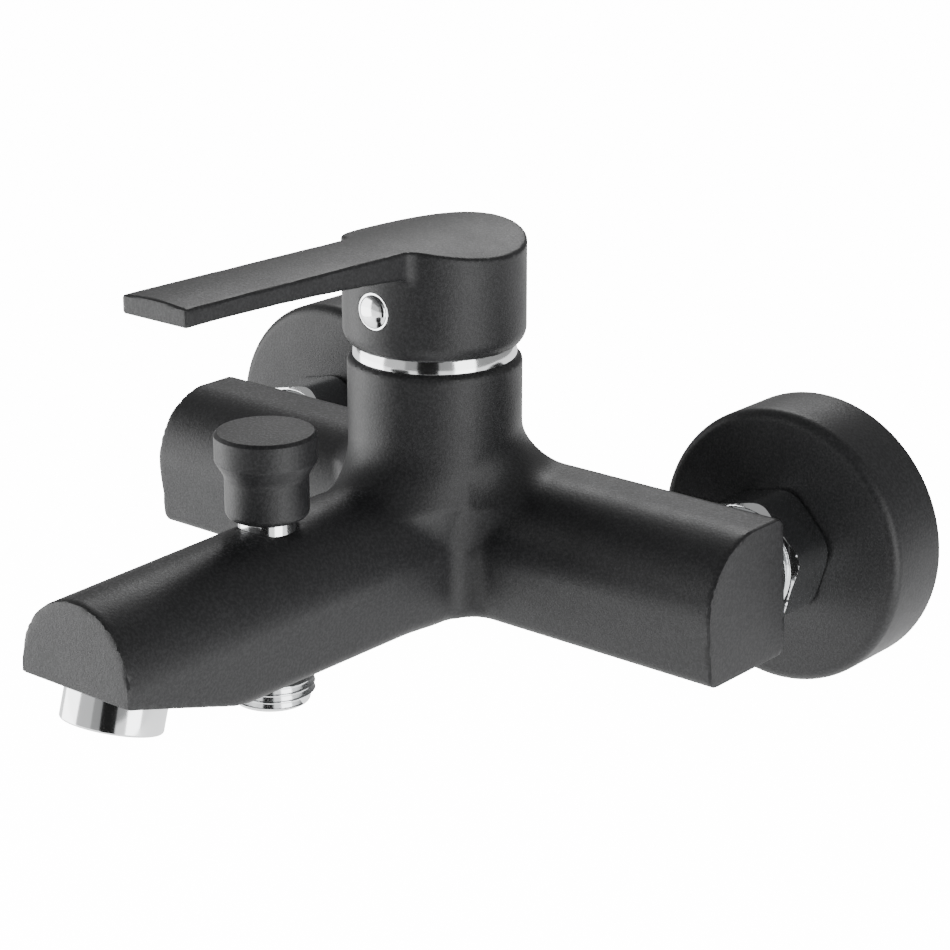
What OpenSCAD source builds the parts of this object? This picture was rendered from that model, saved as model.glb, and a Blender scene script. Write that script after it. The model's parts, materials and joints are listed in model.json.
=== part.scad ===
// Wall mounted bath mixer. One lever works a 35 mm ceramic disc cartridge. A
// pull-up knob on the spout diverts the water to a threaded outlet below it,
// and an aerator closes the end of the spout. Millimetres. The origin lies on
// the wall, midway between the inlets and level with them. +X is right as
// seen from the room, +Y goes into the wall and +Z is up.

/* [Inlets] */
// Distance between the two inlet centres
inlet_spacing = 150; // [140:1:185]
// Drop of the wall thread's axis below the mixer's inlet axis
union_drop = 8; // [4:0.5:10]
// Radius of the thread that screws into the wall fitting
wall_thread_r = 10.48; // [9:0.01:12]
// Length of the thread that screws into the wall fitting
wall_thread_len = 18; // [12:1:30]
// Radius of the thread that the union nut screws onto
union_thread_r = 13.22; // [12.5:0.01:14]
// Radius of the water way through a wall union
union_bore_r = 7.5; // [6.5:0.1:8]
// Width of a union nut across its flats
nut_flats = 29.8; // [29.4:0.1:36]
// Length of a union nut
nut_len = 14.2; // [13:0.1:18]
// Turn of a union nut's flats about its axis, in degrees
nut_turn = 13.5; // [0:0.5:60]

/* [Rosettes] */
// Outer radius of a wall rosette
rosette_r = 35; // [32:0.5:42]
// Depth of a wall rosette from the wall to its front face
rosette_depth = 20; // [18:0.5:30]
// Wall of a rosette
rosette_wall = 1.5; // [1:0.1:2.5]
// Rounding of a rosette's front edge
rosette_round = 3; // [1.5:0.5:6]

/* [Body] */
// Length of the crossbar beyond each inlet centre
bar_overhang = 16.2; // [15.5:0.1:24]
// Radius of the crossbar's rounded front
bar_r = 18; // [17:0.1:22]
// Distance of the crossbar's centre from the wall
bar_reach = 52.5; // [52:0.5:62]
// Distance of the underside below the inlet axis
underside = 17.4; // [16:0.1:20]
// Radius of the water way along the crossbar
bar_bore_r = 12; // [9:0.1:12]
// Distance of the neck's axis from the wall
neck_reach = 61.7; // [60:0.1:70]
// Height of the neck's top above the inlet axis
neck_top = 45.6; // [42:0.1:56]
// Wall of the neck around the cartridge nut's thread
neck_wall = 2.9; // [2:0.1:4]

/* [Spout] */
// Distance of the spout's tip from the wall
spout_reach = 184.3; // [165:0.1:240]
// Half the spout's width and the radius of its arched top
spout_r = 17.5; // [17:0.1:21]
// Inward lean of each spout side from the arch to the underside
spout_side_lean = 0.8; // [0:0.1:2]
// Fall of the spout's crest towards the tip, in degrees
crest_fall = 1; // [0:0.1:1.5]
// Rise of the underside at the tip, in degrees
tip_rise = 16.9; // [10:0.1:20]
// Height of the end face's lower edge below the inlet axis
tip_edge_drop = 5.4; // [5:0.1:8]
// Backward lean of the end face, in degrees
end_lean = 3.3; // [0:0.1:6]
// Radius of the water way along the spout
spout_bore_r = 5.8; // [4:0.1:5.8]

/* [Cartridge] */
// Outer radius of the cartridge
cartridge_r = 17.5; // [17:0.1:22]
// Clearance between the cartridge and its chamber
cartridge_fit = 0.1; // [0.05:0.01:0.3]
// Depth of the chamber below the neck's top
chamber_depth = 37.6; // [37:0.1:44]
// Thickness of the cartridge's base plate
base_h = 4; // [3.5:0.1:6]
// Thickness of each ceramic disc
disc_h = 3.5; // [3:0.1:4]
// Thickness of the carrier that moves the upper disc
carrier_h = 5.3; // [5:0.1:6]
// Distance of the lever's pivot below the neck's top
pivot_drop = 4.6; // [4:0.1:6]
// Distance of the spindle's ball below the lever's pivot
ball_drop = 11; // [9:0.1:12]
// Radius of the spindle's ball
ball_r = 2.9; // [2.4:0.1:3]
// Play between the spindle's ball and its socket
ball_play = 0.4; // [0.3:0.05:0.6]
// Square section of the spindle
spindle_w = 8; // [6:0.1:8]
// Radius of the spindle's cross pin
pin_r = 1.5; // [1:0.1:1.8]
// Radius of the turning guide that carries the spindle
guide_r = 10.5; // [10.3:0.1:12]
// Running clearance of shafts and guides in their bores
run_fit = 0.05; // [0.02:0.01:0.1]
// Greatest lift of the lever, in degrees
lift_max = 25; // [15:1:25]
// Radius of the hot and cold ports
side_port_r = 2.6; // [2:0.1:2.8]
// Radius of the mixed water port
mixed_port_r = 3.2; // [2.5:0.1:3.4]

/* [Lever] */
// Outward step of the lever's hub beyond the neck
hub_step = 1; // [0.9:0.1:3]
// Gap under the hub, where the chrome ring shows
hub_gap = 3.4; // [3.2:0.1:6]
// Height of the hub's top above its lower rim
hub_h = 26.6; // [25:0.1:32]
// Wall of the hub
hub_wall = 1.55; // [1.3:0.05:1.6]
// Depth of the clear space under the hub's middle
hub_clear_h = 8.5; // [8:0.1:10]
// Distance of the lever's end from the wall
lever_reach = 156; // [135:1:185]
// Width of the lever's paddle
paddle_w = 20.4; // [14:0.1:26]
// Thickness of the paddle at the hub
paddle_root_h = 6.9; // [5:0.1:8]
// Thickness of the paddle at its end
paddle_tip_h = 4.2; // [3:0.1:5]
// Rise of the paddle's top above the hub's top at its end
paddle_tip_rise = 2; // [0:0.1:5]
// Radius of the barrel crown across the lever's top
crown_r = 78; // [70:1:200]
// Rise of the crown's middle above the hub's nominal top
crown_rise = 1; // [0.5:0.1:1.5]
// Height of the set screw above the hub's rim
screw_rise = 11.6; // [11.5:0.1:13]
// Radius of the set screw
screw_r = 2.5; // [2:0.1:2.6]
// Radius of the indicator cap over the set screw
cap_r = 4.7; // [4.2:0.1:5.5]

/* [Diverter] */
// Distance of the diverter's axis from the wall
diverter_reach = 122; // [112:0.5:147]
// Travel of the diverter's knob
diverter_travel = 9; // [6:0.5:9]
// Radius of the knob's head
knob_r = 12.2; // [11:0.1:15]
// Radius of the knob's shank
shank_r = 10; // [8:0.1:10.8]
// Height of the knob
knob_h = 21; // [18:0.1:28]
// Height of the knob's lower end above the inlet axis
knob_base = 19; // [18.8:0.1:22]
// Radius of the diverter's stem
stem_r = 2.5; // [2:0.1:3]
// Radius of the diverter's chamber in the spout
chamber_r = 8.5; // [8:0.1:9.5]
// Radius of the ports that the diverter closes
port_r = 5.5; // [5:0.1:6]

/* [Outlets] */
// Radius of the shower outlet's thread
shower_thread_r = 10.48; // [10:0.01:13.3]
// Length of the shower outlet below the underside
shower_len = 10; // [9:0.1:14]
// Radius of the shower outlet's threaded root in the body
shower_root_r = 9.2; // [9:0.1:9.4]
// Outer radius of the check valve
check_r = 7; // [6.8:0.1:7.2]
// Opening travel of the check valve
check_travel = 2; // [1.5:0.1:2.5]
// Outer radius of the aerator
aerator_r = 12; // [11.8:0.1:14]
// Height of the aerator below the spout
aerator_h = 8; // [6:0.1:10]
// Distance of the aerator's centre behind the spout's tip
aerator_setback = 12.8; // [12.5:0.1:15]

/* [Hidden] */
$fn = 96;
// Small amount by which a cut passes the face it opens
cut = 0.5;
// Depth by which the rough body passes its underside before it is cut flat
spare = 4;

// Levels of the cartridge, up from the chamber's floor
floor_z = neck_top - chamber_depth;
disc_z = floor_z + base_h;
slide_z = disc_z + disc_h;
carrier_z = slide_z + disc_h;
// Clearance above the carrier and above the guide's flange
stack_gap = 0.2;
flange_z = carrier_z + carrier_h + stack_gap;
flange_h = 3.3;
step_z = flange_z + flange_h + stack_gap;
nut_h = 7;
nut_drop = 2.6;
shoulder_z = neck_top - nut_drop - nut_h;
housing_top = neck_top + 0.4;
pivot_z = neck_top - pivot_drop;
ball_z = pivot_z - ball_drop;

// Radii of the cartridge and the neck
bore_r = cartridge_r + cartridge_fit;
thread_step = 1.4;
neck_thread_r = cartridge_r + thread_step;
neck_r = neck_thread_r + neck_wall;
housing_wall = 1.6;
housing_in_r = cartridge_r - housing_wall;
collar_r = guide_r + 2.4;
disc_travel = ball_drop * sin(lift_max);
disc_play = 0.45;
moving_r = housing_in_r - disc_travel - disc_play;
socket_r = ball_r + ball_play;
boss_wall = 0.7;
boss_r = socket_r + boss_wall;
boss_play = 0.2;
seal_h = 1.6;
ring_r = neck_r - 0.9;
ring_wall = 4.4;
ring_top = neck_top + hub_gap + 0.2;

// Lever
hub_r = neck_r + hub_step;
hub_z = neck_top + hub_gap;
hub_top = hub_z + hub_h;
hub_in_r = hub_r - hub_wall;
hub_rim_taper = 0.9;
hub_roof = 4;
hub_boss_r = 9;
clear_z = hub_z + hub_clear_h;
socket_top = hub_top - hub_roof - 3.6;
square_fit = 0.05;
screw_z = hub_z + screw_rise;
screw_len = 8;
cap_stem_r = 3.4;
// Depth of the cap's seat in the hub's side
cap_seat = 0.6;

// Hollow core of the spout between the neck and the diverter
core_r = 11.5;
core_back = -neck_reach - 10;
core_front = -diverter_reach + chamber_r + 4;
core_z = -2;

// Crossbar
bar_half = inlet_spacing / 2 + bar_overhang;
// Angle below the middle at which the crossbar's round front turns straight,
// and the lean of the straight part
bar_front_angle = 10;
bar_front_lean = 7.5;
bar_top = 17.4;
bar_back = 38.5;
bar_lean = 2.5;
bar_bore_y = -bar_reach - 1.5;
bar_bore_end = 5.5;
feed_r = 5;
feed_y = -neck_reach + 5.7;
port_spread = 6;
port_back = 4;
mixed_front = 5;
spout_start_y = -neck_reach - 1.3;
spout_bore_z = -4;

// Inlet unions
rosette_front = -rosette_depth;
union_front = rosette_front - 7.5;
gasket_h = 2;
flange_len = 2;
tail_flange_y = union_front - gasket_h;
nut_back = rosette_front - 0.3;
nut_front = nut_back - nut_len;
lip_y = tail_flange_y - flange_len;
tail_bore_r = 7.5;
tail_neck_r = 10.5;
tail_thread_r = 9.8;
tail_collar_r = 14.2;
tail_seat_y = -bar_back - 2.5;
tail_end_y = tail_seat_y - 5;

// Spout tip
tip_y = -spout_reach;
tip_z = -tip_edge_drop;
aerator_y = tip_y + aerator_setback;
aerator_z = tip_z - aerator_setback * tan(tip_rise);
aerator_root_h = 6;
aerator_root_r = aerator_r - 1.1;
aerator_wall = 2.4;
// Levels inside the aerator, up from its lower face
aerator_lip = 1.2;
insert_h = 4;
mesh_h = 0.6;
insert_z = aerator_lip - aerator_h;
mesh_z = insert_z + insert_h;

// Diverter, with its levels up from the shower port
div_y = -diverter_reach;
shower_seat_z = -10;
web_h = 2;
spout_seat_z = 2;
disc_stack = spout_seat_z - shower_seat_z - diverter_travel;
upper_way_r = 4;
upper_way_z = spout_seat_z + web_h + upper_way_r + 0.2;
bonnet_z = upper_way_z + upper_way_r + 0.3;
aerator_way_h = (upper_way_z - aerator_z) / cos(tip_rise) + 1.5;
bonnet_seat = 16;
bonnet_top = knob_base;
bonnet_flange_r = 7;
bonnet_thread_r = 6.2;
bonnet_ring = 1.2;
bonnet_rise = 0.2;
// Groove of the stem's O-ring in the bonnet
groove_z = 1.2;
groove_h = 2;
groove_depth = 1.6;
valve_plate_r = chamber_r - 1.7;
stem_top = knob_base + 12;
spring_wire = 0.9;
spring_r = stem_r + 1.9;

// Shower outlet and check valve
outlet_z = -underside - shower_len;
outlet_root_z = -12;
// Height of the relief that holds the nipple's O-ring
relief_h = 1.4;
check_top = -13;
check_seat_h = 1.5;
check_bore_r = check_r - 1.8;
check_port_r = 3.2;
poppet_r = 4.2;
poppet_h = 1.5;
poppet_z = check_top - check_seat_h;
poppet_stem_r = 1.2;
spider_h = 2;
// Length of the check valve's spring when the valve is open
check_spring_h = 4;
spider_z = poppet_z - poppet_h - check_spring_h - check_travel - spider_h;
check_bottom = spider_z - 2.2;

// Cylinder along -Y from y_from forwards to y_to
module rod_y(r, y_from, y_to) {
    translate([0, y_from, 0])
        rotate([90, 0, 0])
            cylinder(r = r, h = y_from - y_to);
}

// Ring about Z with its lower face at z
module ring_z(outer, inner, z, h) {
    translate([0, 0, z])
        difference() {
            cylinder(r = outer, h = h);
            translate([0, 0, -cut]) cylinder(r = inner, h = h + 2 * cut);
        }
}

// Ring of round section about Z with its middle at z
module o_ring(inner, wire, z) {
    translate([0, 0, z])
        rotate_extrude()
            translate([inner + wire / 2, 0])
                circle(d = wire, $fn = 32);
}

module at_inlet(side) {
    translate([side * inlet_spacing / 2, 0, 0]) children();
}

module at_neck() {
    translate([0, -neck_reach, 0]) children();
}

module at_diverter() {
    translate([0, div_y, 0]) children();
}

// Local Z stands square to the rising underside at the tip
module at_aerator() {
    translate([0, aerator_y, aerator_z])
        rotate([-tip_rise, 0, 0])
            children();
}

// Crossbar's outline, with 2D X along the part's Y and 2D Y along its Z. It
// runs on below the underside, where the whole body is cut flat.
module bar_section() {
    foot = 2;
    start_y = -bar_reach - bar_r * cos(bar_front_angle);
    start_z = -bar_r * sin(bar_front_angle);
    front_in = (underside + spare + start_z) * tan(bar_front_lean);
    intersection() {
        union() {
            intersection() {
                translate([-bar_reach, 0]) circle(r = bar_r);
                translate([-bar_reach - 2 * bar_r, -bar_r]) square([2 * bar_r + cut, 2 * bar_r]);
            }
            polygon([
                [-bar_reach, bar_top], [-bar_back - bar_lean - 1, bar_top],
                [-bar_back - bar_lean, bar_top - 1], [-bar_back, foot - underside],
                [-bar_back - foot - spare, -underside - spare],
                [start_y + front_in, -underside - spare], [start_y, start_z],
                [-bar_reach, start_z]
            ]);
        }
        translate([-bar_reach - 2 * bar_r, -underside - spare])
            square([4 * bar_r, underside + spare + bar_top]);
    }
}

// Spout's outline, an arch whose sides lean in below it
module spout_section() {
    low = underside + spare;
    foot_x = spout_r - spout_side_lean * low / underside;
    circle(r = spout_r);
    polygon([[-spout_r, 0], [-foot_x, -low], [foot_x, -low], [spout_r, 0]]);
}

module bar_outside() {
    translate([-bar_half, 0, 0])
        rotate([90, 0, 90])
            linear_extrude(2 * bar_half)
                bar_section();
}

module spout_outside() {
    back = neck_reach - bar_reach;
    at_neck()
        rotate([crest_fall, 0, 0])
            translate([0, back, 0])
                rotate([90, 0, 0])
                    linear_extrude(spout_reach - bar_reach + spout_r)
                        spout_section();
}

module neck_outside() {
    round_r = 0.8;
    at_neck()
        rotate_extrude() {
            translate([0, -underside - spare])
                square([neck_r, underside + spare + neck_top - round_r]);
            translate([0, neck_top - 2 * round_r]) square([neck_r - round_r, 2 * round_r]);
            translate([neck_r - round_r, neck_top - round_r]) circle(r = round_r);
        }
}

// Flat underside, its rise at the tip and the end face
module outside_cuts() {
    size = 2 * spout_reach;
    translate([-size / 2, -1.5 * size, -underside - size]) cube([size, 2 * size, size]);
    translate([0, tip_y, tip_z])
        rotate([-tip_rise, 0, 0])
            translate([-size / 2, -size / 2, -size])
                cube([size, size, size]);
    translate([0, tip_y, tip_z])
        rotate([-end_lean, 0, 0])
            translate([-size / 2, -size, -size / 2])
                cube([size, size, size]);
}

// Water ways from the inlets to the cartridge's hot and cold ports
module inlet_ways(side) {
    at_inlet(side) {
        rod_y(tail_thread_r, cut - bar_back, -bar_reach);
        rod_y(tail_collar_r, cut - bar_back, tail_seat_y);
    }
    mirror([side < 0 ? 1 : 0, 0, 0]) {
        translate([neck_r + 2, bar_bore_y, 0])
            rotate([0, 90, 0])
                cylinder(r = bar_bore_r, h = bar_half - bar_bore_end - neck_r - 2);
        translate([port_spread - 1.5, feed_y, 0])
            rotate([0, 90, 0])
                cylinder(r = feed_r, h = neck_r + 2);
    }
    at_neck()
        translate([side * port_spread, port_back, 0])
            cylinder(r = side_port_r, h = floor_z + cut);
}

// Water way from the cartridge along the spout to the diverter and the tip
module spout_ways() {
    at_neck()
        translate([0, -mixed_front, spout_bore_z])
            cylinder(r = mixed_port_r, h = floor_z - spout_bore_z + cut);
    translate([0, 0, spout_bore_z]) rod_y(spout_bore_r, spout_start_y, div_y);
    translate([0, 0, core_z]) rod_y(core_r, core_back, core_front);
    translate([0, 0, upper_way_z]) rod_y(upper_way_r, div_y, aerator_y - 2);
    at_diverter() {
        translate([0, 0, shower_seat_z]) cylinder(r = chamber_r, h = spout_seat_z - shower_seat_z);
        translate([0, 0, outlet_root_z - cut])
            cylinder(r = port_r, h = spout_seat_z + web_h - outlet_root_z + 2 * cut);
    }
}

// Threaded seats for the bonnet, the shower nipple and the aerator
module outlet_seats() {
    at_diverter() {
        translate([0, 0, spout_seat_z + web_h]) cylinder(r = bonnet_thread_r, h = 2 * underside);
        translate([0, 0, bonnet_seat]) cylinder(r = bonnet_flange_r, h = underside);
        translate([0, 0, -underside - cut])
            cylinder(r = shower_root_r, h = underside + cut + outlet_root_z);
    }
    at_aerator() {
        translate([0, 0, -cut]) cylinder(r = aerator_root_r, h = aerator_root_h + cut);
        cylinder(r = upper_way_r + 1.5, h = aerator_way_h);
    }
}

module body_casting() {
    color("#3b3c3e")
        difference() {
            union() {
                bar_outside();
                spout_outside();
                neck_outside();
            }
            outside_cuts();
            at_neck() {
                translate([0, 0, floor_z]) cylinder(r = bore_r, h = chamber_depth + cut);
                translate([0, 0, shoulder_z])
                    cylinder(r = neck_thread_r, h = neck_top - shoulder_z + cut);
            }
            for (side = [-1, 1]) inlet_ways(side);
            spout_ways();
            outlet_seats();
        }
}

module wall_rosette(side) {
    in_r = rosette_r - rosette_wall;
    in_round = rosette_round - rosette_wall;
    color("#313234")
        at_inlet(side)
            rotate([90, 0, 0])
                rotate_extrude()
                    difference() {
                        union() {
                            square([rosette_r, rosette_depth - rosette_round]);
                            square([rosette_r - rosette_round, rosette_depth]);
                            translate([rosette_r - rosette_round, rosette_depth - rosette_round])
                                circle(r = rosette_round);
                        }
                        translate([0, -cut])
                            square([in_r, rosette_depth - rosette_round + cut]);
                        translate([0, -cut])
                            square([in_r - in_round, rosette_depth - rosette_wall + cut]);
                        translate([in_r - in_round, rosette_depth - rosette_round])
                            circle(r = in_round);
                        square([union_thread_r, rosette_depth + cut]);
                    }
}

module wall_union(side) {
    shoulder_r = union_thread_r + 0.8;
    shoulder_y = rosette_front + rosette_wall;
    shoulder_len = rosette_depth - rosette_wall;
    color("#b8965a")
        at_inlet(side)
            difference() {
                union() {
                    rod_y(union_thread_r, shoulder_y + 1, union_front);
                    rod_y(shoulder_r, shoulder_y + shoulder_len, shoulder_y);
                    translate([0, 0, -union_drop])
                        rod_y(shoulder_r, shoulder_y + shoulder_len, shoulder_y);
                    translate([-shoulder_r, shoulder_y, -union_drop])
                        cube([2 * shoulder_r, shoulder_len, union_drop]);
                    translate([0, 0, -union_drop])
                        rod_y(wall_thread_r, wall_thread_len, shoulder_y + 1);
                }
                rod_y(union_bore_r, shoulder_y + shoulder_len - 2, union_front - cut);
                translate([0, 0, -union_drop])
                    rod_y(union_bore_r, wall_thread_len + cut, shoulder_y + 2);
            }
}

module union_nut(side) {
    corner_share = 1.09;
    color("#d9dadc")
        at_inlet(side)
            difference() {
                rotate([0, -nut_turn, 0])
                    translate([0, nut_back, 0])
                        rotate([90, 0, 0])
                            intersection() {
                                cylinder(d = nut_flats / cos(30), h = nut_len, $fn = 6);
                                cylinder(d = nut_flats * corner_share, h = nut_len);
                            }
                rod_y(union_thread_r, nut_back + cut, lip_y);
                rod_y(tail_neck_r, lip_y + cut, nut_front - cut);
            }
}

module inlet_tail(side) {
    color("#d9dadc")
        at_inlet(side)
            difference() {
                union() {
                    rod_y(union_thread_r - 0.6, tail_flange_y, lip_y);
                    rod_y(tail_neck_r, lip_y + 1, nut_front - 1);
                    translate([0, nut_front, 0])
                        rotate([90, 0, 0])
                            cylinder(r1 = tail_collar_r - 1.8, r2 = tail_collar_r,
                                     h = 1.8);
                    rod_y(tail_collar_r, nut_front - 1.8, tail_seat_y);
                    rod_y(tail_thread_r, tail_seat_y + 1, tail_end_y);
                }
                rod_y(tail_bore_r, tail_flange_y + cut, tail_end_y - cut);
            }
}

module inlet_gasket(side) {
    color("#26272a")
        at_inlet(side)
            difference() {
                rod_y(union_thread_r - 0.8, union_front, tail_flange_y);
                rod_y(union_bore_r + 0.5, union_front + cut, tail_flange_y - cut);
            }
}

// Hot, cold and mixed ports through a plate of the cartridge
module port_holes(z, h, extra = 0) {
    for (side = [-1, 1])
        translate([side * port_spread, port_back, z - cut])
            cylinder(r = side_port_r + extra, h = h + 2 * cut);
    translate([0, -mixed_front, z - cut]) cylinder(r = mixed_port_r + extra, h = h + 2 * cut);
}

module cartridge_base() {
    color("#e6e6e2")
        at_neck()
            difference() {
                union() {
                    translate([0, 0, floor_z]) cylinder(r = cartridge_r, h = base_h);
                    ring_z(housing_in_r, housing_in_r - 1.6, disc_z - cut, 2 + cut);
                }
                port_holes(floor_z, base_h);
                intersection() {
                    port_holes(floor_z, base_h, 1.2);
                    translate([0, 0, floor_z - cut])
                        cylinder(r = cartridge_r, h = seal_h + cut);
                }
            }
}

module cartridge_seals() {
    ring = 1.2;
    color("#1e1f20")
        at_neck()
            difference() {
                intersection() {
                    port_holes(floor_z, base_h, ring);
                    translate([0, 0, floor_z]) cylinder(r = cartridge_r, h = seal_h);
                }
                port_holes(floor_z, base_h);
            }
}

module fixed_disc() {
    color("#f2f0ea")
        at_neck()
            difference() {
                translate([0, 0, disc_z]) cylinder(r = housing_in_r - 1.8, h = disc_h);
                port_holes(disc_z, disc_h);
            }
}

module cartridge_housing() {
    color("#e6e6e2")
        at_neck()
            difference() {
                union() {
                    translate([0, 0, disc_z]) cylinder(r = cartridge_r, h = shoulder_z - disc_z);
                    translate([0, 0, disc_z]) cylinder(r = collar_r, h = housing_top - disc_z);
                }
                translate([0, 0, disc_z - cut]) cylinder(r = housing_in_r, h = step_z - disc_z + cut);
                translate([0, 0, disc_z])
                    cylinder(r = guide_r + run_fit, h = housing_top - disc_z + cut);
            }
}

module cartridge_nut() {
    slots = 4;
    slot_w = 3;
    color("#c9a55c")
        at_neck()
            difference() {
                ring_z(neck_thread_r, collar_r + 0.1, shoulder_z, nut_h);
                for (i = [0:slots - 1])
                    rotate([0, 0, i * 360 / slots])
                        translate([collar_r, -slot_w / 2, shoulder_z + nut_h - 2])
                            cube([2.4, slot_w, 3]);
            }
}

module dome_ring() {
    skirt = nut_drop - 0.2;
    color("#e2e3e5")
        at_neck() {
            ring_z(ring_r, ring_r - ring_wall, neck_top, ring_top - neck_top);
            ring_z(neck_thread_r - 0.1, ring_r - ring_wall, neck_top - skirt, skirt + cut);
        }
}

module spindle_guide() {
    slot_half = spindle_w / 2 + 0.3;
    lean = (housing_top - pivot_z) * tan(lift_max);
    slot_back = spindle_w / 2 + lean + 0.6;
    boss_slot = boss_r + boss_play;
    color("#4a6f9e")
        at_neck()
            difference() {
                union() {
                    translate([0, 0, flange_z])
                        cylinder(r = housing_in_r - 1.2, h = flange_h);
                    translate([0, 0, flange_z]) cylinder(r = guide_r, h = housing_top - flange_z);
                }
                // Room for the carrier's boss over its whole slide
                translate([-boss_slot, -boss_slot - disc_travel, flange_z - cut])
                    cube([2 * boss_slot, 2 * boss_slot + disc_travel,
                          ball_z + 5 - flange_z + cut]);
                // Room for the leaning spindle
                translate([-slot_half, -slot_back, ball_z + 4])
                    cube([2 * slot_half, 2 * slot_back, housing_top - ball_z]);
                translate([0, 0, pivot_z])
                    rotate([0, 90, 0])
                        cylinder(r = pin_r, h = 3 * guide_r, center = true);
            }
}

module spindle_pin() {
    color("#b4b6b8")
        at_neck()
            translate([0, 0, pivot_z])
                rotate([0, 90, 0])
                    cylinder(r = pin_r, h = 2 * guide_r - 1.4, center = true);
}

module moving_disc() {
    pocket_r = moving_r - 3;
    color("#f2f0ea")
        at_neck()
            difference() {
                translate([0, 0, slide_z]) cylinder(r = moving_r, h = disc_h);
                translate([0, 0, slide_z - cut]) cylinder(r = pocket_r, h = 1.5 + cut);
            }
}

module disc_carrier() {
    color("#e6e6e2")
        at_neck()
            difference() {
                union() {
                    translate([0, 0, carrier_z]) cylinder(r = moving_r, h = carrier_h);
                    translate([0, 0, carrier_z]) cylinder(r = boss_r, h = ball_z + 1.2 - carrier_z);
                }
                translate([0, 0, ball_z - ball_r - 1]) cylinder(r = socket_r, h = 3 * ball_r);
            }
}

module lever_spindle() {
    shank = 2 * ball_r - 2.2;
    square_z = pivot_z - 3.6;
    square_top = socket_top - 0.6;
    color("#c9a55c")
        at_neck()
            difference() {
                union() {
                    translate([0, 0, ball_z]) sphere(r = ball_r);
                    translate([0, 0, ball_z]) cylinder(d = shank, h = square_z - ball_z + cut);
                    translate([-spindle_w / 2, -spindle_w / 2, square_z])
                        cube([spindle_w, spindle_w, square_top - square_z]);
                }
                translate([0, 0, pivot_z])
                    rotate([0, 90, 0])
                        cylinder(r = pin_r + run_fit, h = 2 * spindle_w, center = true);
            }
}

// Side outline of the paddle, with 2D X along the part's Y and 2D Y its Z. It
// runs on above the lever's top, where the crown cuts it.
module paddle_side() {
    root_y = -neck_reach - hub_r + 2.5;
    end_y = -lever_reach;
    edge = 0.8;
    top = hub_top + paddle_tip_rise;
    polygon([
        [root_y, top + spare], [end_y, top + spare], [end_y, top - paddle_tip_h + edge],
        [end_y + edge, top - paddle_tip_h], [root_y, hub_top - paddle_root_h]
    ]);
}

// Barrel whose upper side is the lever's crowned top, falling from the paddle's
// end to the back of the hub
module lever_crown() {
    fall = atan(paddle_tip_rise / (lever_reach - neck_reach + hub_r));
    translate([0, -lever_reach, hub_top + paddle_tip_rise + crown_rise])
        rotate([-fall, 0, 0])
            translate([0, 0, -crown_r])
                rotate([90, 0, 0])
                    cylinder(r = crown_r, h = 3 * lever_reach, center = true);
}

module lever_handle() {
    square = spindle_w / 2 + square_fit;
    rib_w = 2 * screw_r + 4;
    rib_h = 2 * screw_r + 3;
    rim_h = 2;
    color("#505153")
        difference() {
            intersection() {
                union() {
                    at_neck() {
                        difference() {
                            rotate_extrude()
                                polygon([
                                    [0, hub_z], [hub_r - hub_rim_taper, hub_z],
                                    [hub_r, hub_z + rim_h], [hub_r, hub_top + spare],
                                    [0, hub_top + spare]
                                ]);
                            translate([0, 0, hub_z - cut])
                                cylinder(r = hub_in_r, h = hub_h - hub_roof + cut);
                        }
                        translate([0, 0, clear_z])
                            cylinder(r = hub_boss_r, h = hub_top - hub_roof - clear_z + cut);
                        translate([-rib_w / 2, -hub_in_r - 0.6, clear_z])
                            cube([rib_w, hub_in_r, rib_h]);
                    }
                    translate([-paddle_w / 2, 0, 0])
                        rotate([90, 0, 90])
                            linear_extrude(paddle_w)
                                paddle_side();
                }
                lever_crown();
            }
            at_neck() {
                translate([-square, -square, clear_z - cut])
                    cube([2 * square, 2 * square, socket_top - clear_z + cut]);
                translate([0, 0, screw_z]) {
                    rod_y(screw_r, 0, -2 * hub_r);
                    rod_y(cap_stem_r, -spindle_w / 2 - screw_len - 1, -2 * hub_r);
                    rod_y(cap_r, cap_seat - hub_r, -2 * hub_r);
                }
            }
        }
}

module set_screw() {
    hex_flats = 2.5;
    color("#8f9193")
        at_neck()
            translate([0, 0, screw_z])
                difference() {
                    rod_y(screw_r, -spindle_w / 2, -spindle_w / 2 - screw_len);
                    translate([0, -spindle_w / 2 - screw_len - cut, 0])
                        rotate([-90, 0, 0])
                            cylinder(d = hex_flats / cos(30), h = 2.5 + cut, $fn = 6);
                }
}

module indicator_cap() {
    dome_h = 1.1;
    stem_len = 5;
    seat = hub_r - cap_seat;
    dome_r = (cap_r * cap_r + dome_h * dome_h) / (2 * dome_h);
    color("#e2e3e5")
        at_neck()
            translate([0, 0, screw_z]) {
                rod_y(cap_stem_r, stem_len - seat, -seat - 0.2);
                translate([0, -seat, 0])
                    rotate([90, 0, 0])
                        intersection() {
                            cylinder(r = cap_r, h = dome_h + 0.8);
                            translate([0, 0, 0.8 + dome_h - dome_r]) sphere(r = dome_r);
                        }
            }
}

module diverter_bonnet() {
    color("#e2e3e5")
        at_diverter()
            difference() {
                union() {
                    translate([0, 0, bonnet_z])
                        cylinder(r = bonnet_thread_r, h = bonnet_top - bonnet_rise - bonnet_z);
                    translate([0, 0, bonnet_seat])
                        cylinder(r = bonnet_flange_r, h = bonnet_top - bonnet_rise - bonnet_seat);
                }
                translate([0, 0, bonnet_z - cut])
                    cylinder(r = stem_r + run_fit, h = bonnet_top - bonnet_z + 2 * cut);
                translate([0, 0, bonnet_z + groove_z]) cylinder(r = stem_r + groove_depth, h = groove_h);
                translate([0, 0, bonnet_seat - bonnet_ring])
                    difference() {
                        cylinder(r = bonnet_flange_r, h = bonnet_ring);
                        translate([0, 0, -cut])
                            cylinder(r = bonnet_thread_r - bonnet_ring, h = bonnet_ring + 2 * cut);
                    }
            }
}

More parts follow.
